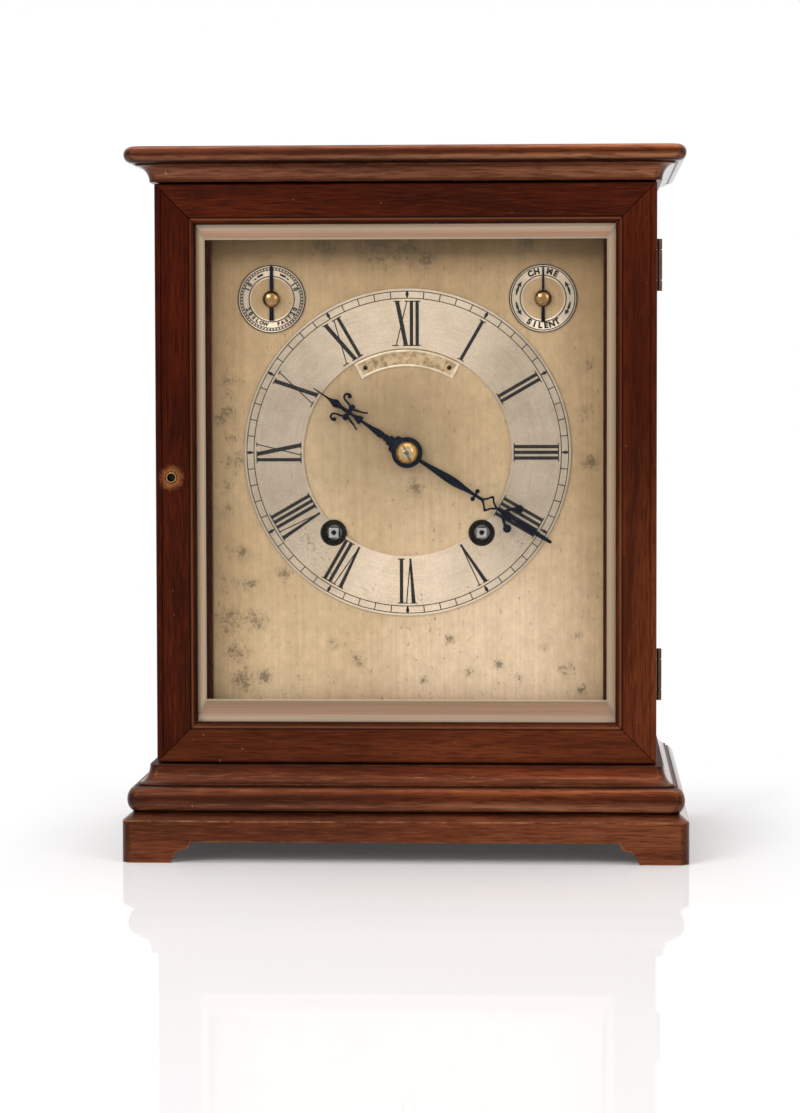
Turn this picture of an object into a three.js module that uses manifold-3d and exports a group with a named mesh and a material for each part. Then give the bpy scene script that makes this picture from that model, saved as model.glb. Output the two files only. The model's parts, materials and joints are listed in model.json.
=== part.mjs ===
// A mahogany bracket clock with a hinged glazed front door, an arched name plaque and two sub-dials,
// a spring-driven going train with a short pendulum, and a striking train with a hammer and a coil gong.
// Millimetres, +Z up, the dial faces -Y, the origin is on the floor under the middle of the case.
import * as THREE from 'three';
import { mergeVertices } from 'three/addons/utils/BufferGeometryUtils.js';
import Module from 'manifold-3d';

const wasm = await Module();
wasm.setup();

// Case
const caseDepth = 200;
const bodyOverhang = 15.5;
const sideThickness = 14;
const cornerRadius = 3;
const plinthFace = 20;
const plinthSlope = 3.5;
const plinthSlopeInset = 4.5;
const plinthWall = 14;
const plinthRoof = 6;
const footWidth = 23.6;
const footArchHeight = 10;
const footArchReach = 9.4;
const footSpur = [2.4, 4.8];
const footCusp = [4.3, 6.2];
const mouldingInset = 2;
const bullnoseHeight = 12.5;
const bullnoseReach = 4.2;
const stepHeight = 9.7;
const stepFootInset = 6.4;
const stepTopInset = 12;
const hollowFillet = 1;
const coveHeight = 8.5;
const coveTopInset = 6.9;
const coveFootInset = 13;
const corniceHeight = 8;
const corniceReach = 3.6;

// Front door, its glass and lock
const doorThickness = 15;
const doorFrameWidth = 19.5;
const doorClearance = 0.6;
const doorGap = 2.2;
const ovolo = 3.2;
const doorLip = 5;
const rebate = 4;
const mitreGap = 0.15;
const glassEdge = 1.8;
const glassBevelRise = 1.4;
const glassBevel = 8;
const glassClearance = 0.3;
const lockInset = 7.5;
const lockDrop = 1.6;
const lockBushRadius = 2.6;
const lockBoreRadius = 1.75;
const lockArborRadius = 1.5;
const latchLength = 8.4;
const latchWidth = 2;
const latchThickness = 3;
const latchChamber = 4.7;
const latchLip = 3;
const latchClearance = 0.4;
const keyRecess = 3;
const lockBushProud = 0.5;

// Butt hinges of the front door
const hingeLength = 24.8;
const hingeEndKnuckle = 5;
const hingeKnuckleGap = 0.25;
const hingeFromTop = 38.9;
const hingeFromBottom = 41.7;
const hingeAxisOut = 1.25;
const hingeKnuckleRadius = 1.5;
const hingePinRadius = 0.75;
const hingeLeaf = 0.8;
const hingeLeafWidth = 10;

// Rear door
const rearThickness = 11;
const rearClearance = 0.5;
const rearFrameWidth = 20;
const rearGlass = 3;
const rearGlassLip = 4;
const rearGlassDepth = 5;
const rearPivotRadius = 2;
const rearPivotLength = 4;

// Dial
const surroundThickness = 5;
const surroundShowSide = 5.75;
const surroundShowTop = 5.9;
const surroundShowBottom = 8.7;
const besideChapter = 15.25;
const belowChapter = 41;
const aboveSubDial = 13.1;
const ringGap = 3.7;
const dialOverlap = 5;
const dialThickness = 2;
const dialFootRadius = 2.5;
const dialFootX = 60;
const dialFootRise = 45.5;
const dialFootDrop = 59.5;
const chapterOuter = 79;
const chapterInner = 50;
const chapterThickness = 1.2;
const plaqueInner = 41.5;
const plaqueGap = 0.5;
const plaqueHalfAngle = 30;
const plaquePoint = 4;
const plaqueThickness = 0.8;
const subDialX = 65.4;
const subDialRadius = 16;
const subDialThickness = 0.8;
const subBossRadius = 4.3;
const subBossHeight = 3.6;
const subArborRadius = 1.5;
const subPointerThickness = 0.7;
const subHub = 3;
const subTipReach = 13.2;
const subTailReach = 12;
const subTipHalf = 0.25;
const subTailHalf = 0.9;
const domeTip = 0.1;
const windingX = 35.8;
const windingDrop = 38.8;
const windingHoleRadius = 6.4;
const windingSquare = 4.8;

// Hands, with the time they show as clockwise angles from twelve
const minuteLength = 82;
const minuteAngle = 122;
const hourLength = 54.6;
const hourAngle = 304.5;
const handThickness = 0.9;
const minuteHubRadius = 7.4;
const hourHubRadius = 6.4;
const hourHandLift = 1.2;
const minuteHandLift = 1.3;
const handBore = 0.15;
const colletRadius = 5.4;
const colletThickness = 2;
const colletRim = 0.7;
const colletTaper = 2;
const handPinRadius = 0.45;
const handPinLength = 11;

// Half widths of the hands: the shank by distance from the centre, the fret by distance back from the tip
const minuteShank = [[5, 1.3], [12, 0.8]];
const minuteFret = [
  [49, 1.85], [43.5, 0.8], [42, 2.6], [40.5, 2.6], [39.5, 0.9], [37.5, 1.1], [33.5, 3.7], [29.5, 1.1],
  [27, 0.9], [24.5, 3.6], [22, 3.6], [20.5, 1.2], [18, 1.9], [12, 1.1], [0, 0.2],
];
const minuteEyeBack = 33.5;
const minuteEyeHalf = 1.9;
const minuteEyeReach = 2.3;
const hourShank = [[5, 1.6], [8.5, 2.6], [10.5, 1.2]];
const hourFret = [
  [28.6, 0.9], [27.1, 3.2], [25.6, 3.2], [24.6, 1.2], [21.6, 1.2], [19.1, 4.6], [16.6, 4.6], [15.1, 1.4],
  [12.6, 3.2], [9.6, 1.3], [0, 0.2],
];
const hourCurl = 2.2;
const hourCurlOut = 5.4;
const hourCurlBack = 17.8;

// Movement frame
const motionGap = 10;
const plateThickness = 2.5;
const plateSpacing = 48;
const plateWidth = 134;
const plateAbovePallets = 9.2;
const plateBelowCentre = 74.5;
const seatThickness = 8;
const seatBehind = 3.3;
const pillarRadius = 3.5;
const upperPillarInset = 9;
const upperPillarDrop = 8;
const lowerPillarX = 9;
const lowerPillarRise = 8;

// Where the wheels lie: behind the front plate, or before the back plate
const barrelWheelBehind = 3;
const centreWheelBehind = 18;
const thirdWheelBehind = 28;
const flyVaneBehind = 8;
const intermediateWheelBefore = 12;
const escapeWheelBefore = 7;
const motionClearance = 0.5;
const motionLayerGap = 1.2;

// Wheels: teeth, modules and arbors
const barrelTeeth = 60;
const barrelModule = 0.96;
const wheelTeeth = 60;
const coarsePinionTeeth = 10;
const finePinionTeeth = 6;
const intermediateModule = 0.6;
const centreModule = 0.5;
const thirdModule = 0.45;
const escapeTeeth = 45;
const escapeRadius = 12.6;
const palletDistance = 19.5;
const thirdLean = 10;
const cannonTeeth = 30;
const hourTeeth = 72;
const hourModule = 0.5;
const minuteWheelAngle = 160;
const flyModule = 0.6;
const pinWheelAngle = 105;
const flyAngle = 80;
const addendum = 0.4;
const dedendum = 0.8;
const wheelThickness = 1.6;
const pinionLength = 4.5;
const heavyArbor = 1.5;
const fineArbor = 0.9;
const pivotClearance = 0.3;
const barrelRadius = 24;
const barrelLength = 28;
const barrelArbor = 2.2;
const ratchetTeeth = 18;
const ratchetRadius = 9;
const ratchetRoot = 7.8;
const ratchetThickness = 1.4;
const clickPivotX = 14;
const clickPivotZ = 3;
const clickHub = 2.2;
const clickTipGap = 0.5;
const clickTipAngle = 55;
const cannonPipe = 2.6;
const hourPipe = 4;
const pipeWall = 0.8;
const strikePins = 6;
const strikePinCircle = 13;
const strikePinRadius = 0.9;
const strikePinLength = 3.5;
const flyVane = 12;
const flyVaneLength = 20;
const flyVaneThickness = 1;

// Pendulum, hammer and gong
const pendulumLength = 159;
const rodRadius = 1.5;
const bobRadius = 18;
const bobThickness = 8;
const bobRim = 1.6;
const bobFlat = 11;
const nutRadius = 4;
const nutHeight = 4;
const rodTail = 1;
const pendulumBehind = 9.5;
const springWidth = 6;
const springThickness = 0.5;
const springLength = 9;
const crutchLength = 42;
const crutchWidth = 3;
const crutchBehind = 2;
const crutchThickness = 1.5;
const forkProng = 1.2;
const forkClearance = 0.5;
const palletArm = [[2.5, 2.5], [14, -9.5], [13, -11.8], [11.2, -10.4], [2, -3]];
const cockBridge = 2;
const cockHalfWidth = 15;
const cockFoot = 4;
const cockStandoff = 6;
const cockJawGap = 1.2;
const cockJawHeight = 7;
const cockJawBehind = 2;
const cockDrop = 5;
const cockCap = 3;
const hammerX = -53;
const hammerRise = 7;
const hammerTail = 46;
const hammerTailGap = 1.5;
const hammerTailThickness = 2;
const hammerArm = 3;
const hammerHead = 8;
const hammerSlotX = 12;
const gongX = -20;
const gongDrop = 40;
const gongTurns = 2.5;
const gongInner = 9;
const gongOuter = 24;
const gongWire = 1.2;
const gongStepsPerTurn = 24;
const gongSides = 6;
const gongBlock = 6;
const gongBlockRise = 1.8;

// Gap between pieces that meet, how far a cutting tool overshoots, and when two points are one
const touch = 0.3;
const below = 1;
const weld = 1e-4;

// Facets of the round shapes
const archSegments = 3;
const ovoloSegments = 4;
const handSegments = 4;
const pivotSegments = 5;
const dialSegments = 10;
const subDialSegments = 14;
const chapterSegments = 28;
const studSides = 6;
const pinSides = 8;
const fineSides = 10;
const pipeSides = 16;
const windingHoleSides = 20;
const hubSides = 24;
const bobSides = 28;
const drumSides = 32;

// The dial's layout sets the window, the window sets the door, and the door sets the case
const subDialRise = Math.sqrt((chapterOuter + subDialRadius + ringGap) ** 2 - subDialX ** 2);
const windowWidth = 2 * (chapterOuter + besideChapter);
const windowHeight = belowChapter + chapterOuter + subDialRise + subDialRadius + aboveSubDial;
const bodyWidth = windowWidth + 2 * (surroundShowSide + doorFrameWidth);
const caseWidth = bodyWidth + 2 * bodyOverhang;
const doorHeight = windowHeight + surroundShowTop + surroundShowBottom + 2 * doorFrameWidth;
const bodyHeight = doorHeight + 2 * doorClearance;

// Heights up the case and planes through its depth
const plinthTop = plinthFace + plinthSlope;
const bullnoseTop = plinthTop + bullnoseHeight;
const stepTop = bullnoseTop + stepHeight;
const bodyTop = stepTop + bodyHeight;
const doorBottom = stepTop + doorClearance;
const doorTop = bodyTop - doorClearance;
const sightBottom = doorBottom + doorFrameWidth;
const sightTop = doorTop - doorFrameWidth;
const windowLow = sightBottom + surroundShowBottom;
const windowHigh = sightTop - surroundShowTop;
const centreZ = windowLow + belowChapter + chapterOuter;
const seatTop = centreZ - plateBelowCentre;
const gongZ = seatTop - gongDrop;
const hammerDrop = hammerRise + gongDrop;
const lockX = lockInset - bodyWidth / 2;
const lockZ = (doorBottom + doorTop) / 2 - lockDrop;
const coveTop = bodyTop + coveHeight;
const frontY = -caseDepth / 2;
const backY = caseDepth / 2;
const bodyInset = (caseWidth - bodyWidth) / 2;
const doorFront = frontY + bodyInset;
const doorBack = doorFront + doorThickness;
const caseFront = doorBack + doorGap;
const dialFront = caseFront + surroundThickness;
const dialBack = dialFront + dialThickness;
const frontPlateFront = dialBack + motionGap;
const frontPlateBack = frontPlateFront + plateThickness;
const backPlateFront = frontPlateBack + plateSpacing;
const backPlateBack = backPlateFront + plateThickness;
const innerX = bodyWidth / 2 - sideThickness;
const degree = Math.PI / 180;
const quarterTurn = Math.PI / 2;

// Joining and cutting closed meshes
function solidOf(geometry) {
  const bare = geometry.clone();
  bare.deleteAttribute('normal');
  bare.deleteAttribute('uv');
  const merged = mergeVertices(bare, weld);
  const vertProperties = new Float32Array(merged.attributes.position.array);
  const triVerts = new Uint32Array(merged.index.array);
  return new wasm.Manifold(new wasm.Mesh({ numProp: 3, vertProperties, triVerts }));
}

function geometryOf(solid) {
  const mesh = solid.getMesh();
  const geometry = new THREE.BufferGeometry();
  geometry.setAttribute('position', new THREE.BufferAttribute(new Float32Array(mesh.vertProperties), 3));
  geometry.setIndex(new THREE.BufferAttribute(new Uint32Array(mesh.triVerts), 1));
  geometry.computeVertexNormals();
  return geometry;
}

function join(...geometries) {
  const solids = geometries.map(solidOf);
  return geometryOf(solids.reduce((whole, next) => whole.add(next)));
}

function cut(geometry, ...tools) {
  const solids = tools.map(solidOf);
  return geometryOf(solids.reduce((whole, next) => whole.subtract(next), solidOf(geometry)));
}

// Basic solids, all in the clock's own axes
function block(x0, x1, y0, y1, z0, z1) {
  const geometry = new THREE.BoxGeometry(x1 - x0, y1 - y0, z1 - z0);
  return geometry.translate((x0 + x1) / 2, (y0 + y1) / 2, (z0 + z1) / 2);
}

function rod(radius, y0, y1, sides = 12) {
  return new THREE.CylinderGeometry(radius, radius, y1 - y0, sides).translate(0, (y0 + y1) / 2, 0);
}

function post(radius, z0, z1, sides = 12) {
  const geometry = new THREE.CylinderGeometry(radius, radius, z1 - z0, sides);
  return geometry.rotateX(quarterTurn).translate(0, 0, (z0 + z1) / 2);
}

// A shape drawn as seen from the front, x to the right and y up, filling the depth from y0 back to y1
function plate(shape, y0, y1, curveSegments = 6) {
  const geometry = new THREE.ExtrudeGeometry(shape, { depth: y1 - y0, bevelEnabled: false, curveSegments });
  return geometry.rotateX(quarterTurn).translate(0, y1, 0);
}

// A shape drawn as a plan, x to the right and y to the back, standing from z0 up to z1
function column(shape, z0, z1, curveSegments = 6) {
  const geometry = new THREE.ExtrudeGeometry(shape, { depth: z1 - z0, bevelEnabled: false, curveSegments });
  return geometry.translate(0, 0, z0);
}

function polygon(points) {
  return new THREE.Shape(points.map(([x, y]) => new THREE.Vector2(x, y)));
}

function rectangle(x0, x1, y0, y1) {
  return polygon([[x0, y0], [x1, y0], [x1, y1], [x0, y1]]);
}

function circle(radius, x = 0, y = 0) {
  return new THREE.Shape().absarc(x, y, radius, 0, 2 * Math.PI);
}

function withHoles(shape, holes) {
  shape.holes.push(...holes);
  return shape;
}

// A closed skin over convex rings of points, each ring anticlockwise seen from the last one
function loft(rings) {
  const count = rings[0].length;
  const index = [];
  for (let level = 0; level + 1 < rings.length; level += 1) {
    for (let i = 0; i < count; i += 1) {
      const a = level * count + i;
      const b = level * count + (i + 1) % count;
      index.push(a, b, b + count, a, b + count, a + count);
    }
  }
  const last = (rings.length - 1) * count;
  for (let i = 1; i + 1 < count; i += 1) {
    index.push(0, i + 1, i);
    index.push(last, last + i, last + i + 1);
  }
  const geometry = new THREE.BufferGeometry().setFromPoints(rings.flat());
  geometry.setIndex(index);
  geometry.computeVertexNormals();
  return geometry;
}

// A board moulded on its front and ends and flat at the back, from [inset, height] pairs going up
function mouldedBoard(profile, bottom) {
  const cornerSteps = 3;
  const rings = profile.map(([inset, height]) => {
    const x = caseWidth / 2 - inset - cornerRadius;
    const y = frontY + inset + cornerRadius;
    const ring = [];
    for (const [side, start] of [[-1, 2 * quarterTurn], [1, 3 * quarterTurn]]) {
      for (let step = 0; step <= cornerSteps; step += 1) {
        const angle = start + (step / cornerSteps) * quarterTurn;
        ring.push(new THREE.Vector3(
          side * x + cornerRadius * Math.cos(angle),
          y + cornerRadius * Math.sin(angle),
          bottom + height,
        ));
      }
    }
    const end = caseWidth / 2 - inset;
    ring.push(new THREE.Vector3(end, backY, bottom + height));
    ring.push(new THREE.Vector3(-end, backY, bottom + height));
    return ring;
  });
  return loft(rings);
}

// Half-round edge, and a hollow edge that ends upright against the narrower face
function halfRound(inset, reach, height) {
  const steps = 6;
  const profile = [];
  for (let step = 0; step <= steps; step += 1) {
    const angle = (step / steps - 0.5) * Math.PI;
    profile.push([inset + reach * (1 - Math.cos(angle)), height * (0.5 + 0.5 * Math.sin(angle))]);
  }
  return profile;
}

function hollow(wideInset, narrowInset, height) {
  const steps = 4;
  const profile = [[wideInset, 0]];
  for (let step = 0; step <= steps; step += 1) {
    const angle = (step / steps) * quarterTurn;
    const inset = wideInset + (narrowInset - wideInset) * Math.sin(angle);
    profile.push([inset, hollowFillet + (height - hollowFillet) * (1 - Math.cos(angle))]);
  }
  return profile;
}

// Finishes
const finishes = {
  mahogany: { color: 0x5a2616, roughness: 0.35, metalness: 0 },
  darkWood: { color: 0x3a1710, roughness: 0.5, metalness: 0 },
  silvered: { color: 0xc9bf9f, roughness: 0.4, metalness: 0.8 },
  chapter: { color: 0xd8d4c4, roughness: 0.45, metalness: 0.7 },
  brass: { color: 0xb08d46, roughness: 0.3, metalness: 1 },
  agedBrass: { color: 0x6f5a33, roughness: 0.45, metalness: 1 },
  steel: { color: 0x9a9a9c, roughness: 0.35, metalness: 1 },
  bluedSteel: { color: 0x1d2438, roughness: 0.3, metalness: 1 },
  glass: { color: 0xe8f0f0, roughness: 0.05, metalness: 0, transparent: true, opacity: 0.25 },
};

const clock = new THREE.Group();

function add(name, finish, geometry, x = 0, z = 0) {
  const mesh = new THREE.Mesh(geometry, new THREE.MeshStandardMaterial(finishes[finish]));
  mesh.name = name;
  mesh.position.set(x, 0, z);
  clock.add(mesh);
  return mesh;
}

// Case: plinth on bracket feet, half-round, step, sides, cove and cornice
function footArch(halfLength) {
  const foot = halfLength - footWidth;
  const crown = foot - footArchReach;
  const arch = new THREE.Shape();
  arch.moveTo(-foot, -below);
  arch.lineTo(foot, -below);
  arch.lineTo(foot, 0);
  arch.lineTo(foot - footSpur[0], footSpur[1]);
  arch.lineTo(foot - footCusp[0], footCusp[1]);
  arch.quadraticCurveTo(crown, footCusp[1], crown, footArchHeight);
  arch.lineTo(-crown, footArchHeight);
  arch.quadraticCurveTo(-crown, footCusp[1], footCusp[0] - foot, footCusp[1]);
  arch.lineTo(footSpur[0] - foot, footSpur[1]);
  arch.lineTo(-foot, 0);
  return arch;
}

const plinthBoard = mouldedBoard([[0, 0], [0, plinthFace], [plinthSlopeInset, plinthTop]], 0);
const plinthCavity = block(
  plinthWall - caseWidth / 2, caseWidth / 2 - plinthWall,
  frontY + plinthWall, backY - plinthWall,
  -below, plinthTop - plinthRoof,
);
const frontArch = plate(footArch(caseWidth / 2), frontY - below, backY + below, archSegments);
const endReach = caseWidth / 2 + below;
const sideArch = plate(footArch(caseDepth / 2), -endReach, endReach, archSegments).rotateZ(quarterTurn);
add('bracket_plinth', 'mahogany', cut(plinthBoard, plinthCavity, frontArch, sideArch));

const bullnose = halfRound(mouldingInset, bullnoseReach, bullnoseHeight);
add('base_bullnose', 'mahogany', mouldedBoard(bullnose, plinthTop));

const rearPivotX = innerX - rearClearance - rearThickness / 2;
const rearPivotY = backY - rearThickness / 2;
const rearSocket = rearPivotLength + rearClearance;

function rearPivotHole(z0, z1) {
  return post(rearPivotRadius + touch, z0, z1).translate(rearPivotX, rearPivotY, 0);
}

const stepBoard = mouldedBoard(hollow(stepFootInset, stepTopInset, stepHeight), bullnoseTop);
add('base_step', 'mahogany', cut(stepBoard, rearPivotHole(stepTop - rearSocket, stepTop + below)));

const coveProfile = hollow(coveTopInset, coveFootInset, coveHeight);
const hangingCove = coveProfile.map(([inset, height]) => [inset, coveHeight - height]).reverse();
const coveBoard = mouldedBoard(hangingCove, bodyTop);
add('cornice_cove', 'mahogany', cut(coveBoard, rearPivotHole(bodyTop - below, bodyTop + rearSocket)));
add('cornice_top', 'mahogany', mouldedBoard(halfRound(mouldingInset, corniceReach, corniceHeight), coveTop));

// The latch enters the left side through an upright slot and turns in a round chamber behind it
const chamberFront = caseFront + latchLip;
const chamberBack = chamberFront + latchThickness + 2 * latchClearance;
const slotHalfWidth = lockArborRadius + latchClearance;
const slotHalfHeight = latchLength / 2 + latchClearance;
const latchSlot = block(
  lockX - slotHalfWidth, lockX + slotHalfWidth,
  caseFront - below, chamberBack - latchClearance,
  lockZ - slotHalfHeight, lockZ + slotHalfHeight,
);
const chamber = rod(latchChamber, chamberFront, chamberBack, pipeSides).translate(lockX, 0, lockZ);
const leftSide = block(-bodyWidth / 2, -innerX, caseFront, backY, stepTop, bodyTop);
add('case_side_left', 'mahogany', cut(leftSide, latchSlot, chamber));
add('case_side_right', 'mahogany', block(innerX, bodyWidth / 2, caseFront, backY, stepTop, bodyTop));

// Front door: mitred frame with a rounded inner edge, bevelled glass and its bead
function frameBar(length) {
  const section = new THREE.Shape();
  section.moveTo(0, 0);
  section.lineTo(doorFrameWidth - ovolo, 0);
  section.absarc(doorFrameWidth - ovolo, ovolo, ovolo, -quarterTurn, 0);
  section.lineTo(doorFrameWidth, doorLip);
  section.lineTo(doorFrameWidth - rebate, doorLip);
  section.lineTo(doorFrameWidth - rebate, doorThickness);
  section.lineTo(0, doorThickness);
  const bar = new THREE.ExtrudeGeometry(
    section, { depth: length, bevelEnabled: false, curveSegments: ovoloSegments },
  );
  const place = bar.attributes.position;
  for (let i = 0; i < place.count; i += 1) {
    const mitre = place.getX(i) + mitreGap;
    place.setZ(i, place.getZ(i) < length / 2 ? mitre : length - mitre);
  }
  return bar;
}

const leftStile = frameBar(doorHeight).translate(-bodyWidth / 2, doorFront, doorBottom);
const lockHole = rod(lockBushRadius + touch, doorFront - below, doorBack + below).translate(lockX, 0, lockZ);
add('door_stile_left', 'mahogany', cut(leftStile, lockHole));
const rightStile = frameBar(doorHeight).rotateY(2 * quarterTurn);
add('door_stile_right', 'mahogany', rightStile.translate(bodyWidth / 2, doorFront, doorTop));
const topRail = frameBar(bodyWidth).rotateY(quarterTurn);
add('door_rail_top', 'mahogany', topRail.translate(-bodyWidth / 2, doorFront, doorTop));
const bottomRail = frameBar(bodyWidth).rotateY(-quarterTurn);
add('door_rail_bottom', 'mahogany', bottomRail.translate(bodyWidth / 2, doorFront, doorBottom));

const sightHalf = bodyWidth / 2 - doorFrameWidth;
const glassReach = rebate - glassClearance;

function uprightRing(grow, y) {
  const x = sightHalf + grow;
  const low = sightBottom - grow;
  const high = sightTop + grow;
  return [[-x, low], [x, low], [x, high], [-x, high]].map(([px, pz]) => new THREE.Vector3(px, y, pz));
}

const glassUnderLip = glassBevelRise * glassReach / glassBevel;
const glassFront = doorFront + doorLip + glassUnderLip + touch;
const glassBack = glassFront + glassEdge;
add('door_glass', 'glass', loft([
  uprightRing(glassReach, glassBack),
  uprightRing(glassReach, glassFront),
  uprightRing(glassReach - glassBevel, glassFront - glassBevelRise),
]));

const beadOuter = rectangle(
  -sightHalf - glassReach, sightHalf + glassReach,
  sightBottom - glassReach, sightTop + glassReach,
);
const beadShape = withHoles(beadOuter, [rectangle(-sightHalf, sightHalf, sightBottom, sightTop)]);
add('glass_bead', 'darkWood', plate(beadShape, glassBack + touch, doorBack));

// Lock bush, and the latch that a key turns from upright to across
const bushShape = withHoles(circle(lockBushRadius), [circle(lockBoreRadius)]);
add('lock_bush', 'brass', plate(bushShape, doorFront - lockBushProud, doorBack), lockX, lockZ);
const tongueFront = chamberFront + latchClearance;
const tongueBack = tongueFront + latchThickness;
const latchArbor = rod(lockArborRadius, doorFront + keyRecess, tongueBack);
const latchTongue = block(
  -latchWidth / 2, latchWidth / 2, tongueFront, tongueBack, -latchLength / 2, latchLength / 2,
);
add('door_latch', 'steel', join(latchArbor, latchTongue), lockX, lockZ);

// Butt hinges: the pin is riveted in the case leaf's two end knuckles
const hingeX = bodyWidth / 2 + hingeAxisOut;
const hingeY = (doorBack + caseFront) / 2;
const leafEdge = hingeX - hingeKnuckleRadius - touch;
const leafInner = bodyWidth / 2 - hingeLeafWidth;

function knuckle(z0, z1) {
  return post(hingeKnuckleRadius, z0, z1).translate(hingeX, hingeY, 0);
}

function addHinge(place, z) {
  const low = z - hingeLength / 2;
  const high = z + hingeLength / 2;
  const middleLow = low + hingeEndKnuckle + hingeKnuckleGap;
  const middleHigh = high - hingeEndKnuckle - hingeKnuckleGap;
  const caseLeafFront = caseFront - hingeLeaf;
  const caseLeaf = join(
    block(leafInner, leafEdge, caseLeafFront, caseFront, low, high),
    block(leafInner, hingeX, caseLeafFront, caseFront, low, low + hingeEndKnuckle),
    block(leafInner, hingeX, caseLeafFront, caseFront, high - hingeEndKnuckle, high),
    knuckle(low, low + hingeEndKnuckle),
    knuckle(high - hingeEndKnuckle, high),
    post(hingePinRadius, low, high).translate(hingeX, hingeY, 0),
  );
  add(`hinge_${place}_case_leaf`, 'agedBrass', caseLeaf);
  const doorLeafBack = doorBack + hingeLeaf;
  const doorLeaf = join(
    block(leafInner, leafEdge, doorBack, doorLeafBack, low, high),
    block(leafInner, hingeX, doorBack, doorLeafBack, middleLow, middleHigh),
    knuckle(middleLow, middleHigh),
  );
  const bore = post(hingePinRadius + hingeKnuckleGap, low, high).translate(hingeX, hingeY, 0);
  add(`hinge_${place}_door_leaf`, 'agedBrass', cut(doorLeaf, bore));
}

addHinge('upper', doorTop - hingeFromTop);
addHinge('lower', doorBottom + hingeFromBottom);

// Rear door: a glazed frame that turns on two dowels in the step and the cove
const rearFront = backY - rearThickness;
const rearEdge = innerX - rearClearance;
const rearBottom = stepTop + rearClearance;
const rearTop = bodyTop - rearClearance;
const rearWindowX = rearEdge - rearFrameWidth;
const rearWindowBottom = rearBottom + rearFrameWidth;
const rearWindowTop = rearTop - rearFrameWidth;
const rearPlan = new THREE.Shape();
rearPlan.moveTo(-rearEdge, rearFront);
rearPlan.lineTo(rearPivotX, rearFront);
rearPlan.absarc(rearPivotX, rearPivotY, rearThickness / 2, -quarterTurn, quarterTurn);
rearPlan.lineTo(-rearEdge, backY);

function rearWindow(grow, y0, y1) {
  const x = rearWindowX + grow;
  return block(-x, x, y0, y1, rearWindowBottom - grow, rearWindowTop + grow);
}

const rearSeat = rearFront + rearGlassDepth;
const rearDowels = post(rearPivotRadius, rearBottom - rearPivotLength, rearTop + rearPivotLength);
const rearFrame = cut(
  join(column(rearPlan, rearBottom, rearTop), rearDowels.translate(rearPivotX, rearPivotY, 0)),
  rearWindow(0, rearFront - below, backY + below),
  rearWindow(rearGlassLip, rearFront - below, rearSeat),
);
add('rear_door_frame', 'mahogany', rearFrame);
const rearGlassBack = rearSeat - touch;
add('rear_door_glass', 'glass', rearWindow(rearGlassLip - touch, rearGlassBack - rearGlass, rearGlassBack));

// Seat board for the movement, with a slot for the hammer arm
const gongY = (frontPlateFront + backPlateBack) / 2;
const seatReach = innerX - touch;
const hammerSlot = block(
  hammerX - hammerSlotX, hammerX + hammerArm,
  gongY - hammerArm, gongY + hammerArm,
  seatTop - seatThickness - below, seatTop + below,
);
const seat = block(
  -seatReach, seatReach,
  frontPlateFront, backPlateBack + seatBehind,
  seatTop - seatThickness, seatTop,
);
add('seat_board', 'darkWood', cut(seat, hammerSlot));

// Dial surround, dial plate on its feet, and the rings laid on the plate
const surround = withHoles(
  rectangle(-seatReach, seatReach, stepTop, bodyTop),
  [rectangle(-windowWidth / 2, windowWidth / 2, windowLow, windowHigh)],
);
add('dial_surround', 'darkWood', plate(surround, caseFront, dialFront));

const windingZ = centreZ - windingDrop;
const subDialZ = centreZ + subDialRise;
const dialHalf = windowWidth / 2 + dialOverlap;
const subArborHole = subArborRadius + pivotClearance;
const dialHoles = [circle(hourPipe + pivotClearance, 0, centreZ)];
for (const side of [-1, 1]) {
  dialHoles.push(circle(windingHoleRadius, side * windingX, windingZ));
  dialHoles.push(circle(subArborHole, side * subDialX, subDialZ));
}
const dialSheet = withHoles(
  rectangle(-dialHalf, dialHalf, windowLow - dialOverlap, windowHigh + dialOverlap),
  dialHoles,
);
const dialFeet = [];
for (const side of [-1, 1]) {
  for (const z of [centreZ + dialFootRise, centreZ - dialFootDrop]) {
    dialFeet.push(rod(dialFootRadius, dialFront + below, frontPlateFront).translate(side * dialFootX, 0, z));
  }
}
add('dial_plate', 'silvered', join(plate(dialSheet, dialFront, dialBack, dialSegments), ...dialFeet));

const chapterShape = withHoles(circle(chapterOuter), [circle(chapterInner)]);
const chapterRing = plate(chapterShape, dialFront - chapterThickness, dialFront, chapterSegments);
const chapterCuts = [-1, 1].map((side) => {
  const front = dialFront - chapterThickness - below;
  const hole = rod(windingHoleRadius, front, dialFront + below, windingHoleSides);
  return hole.translate(side * windingX, 0, -windingDrop);
});
add('chapter_ring', 'chapter', cut(chapterRing, ...chapterCuts), 0, centreZ);

const plaqueOuter = chapterInner - plaqueGap;
const plaqueStart = (90 - plaqueHalfAngle) * degree;
const plaqueEnd = (90 + plaqueHalfAngle) * degree;
const plaqueMiddle = (plaqueInner + plaqueOuter) / 2;
const plaque = new THREE.Shape();
plaque.absarc(0, 0, plaqueOuter, plaqueStart, plaqueEnd);
const plaqueTip = plaqueEnd + plaquePoint * degree;
plaque.lineTo(plaqueMiddle * Math.cos(plaqueTip), plaqueMiddle * Math.sin(plaqueTip));
plaque.absarc(0, 0, plaqueInner, plaqueEnd, plaqueStart, true);
plaque.lineTo(-plaqueMiddle * Math.cos(plaqueTip), plaqueMiddle * Math.sin(plaqueTip));
const plaqueSheet = plate(plaque, dialFront - plaqueThickness, dialFront, dialSegments);
add('name_plaque', 'silvered', plaqueSheet, 0, centreZ);

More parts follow.
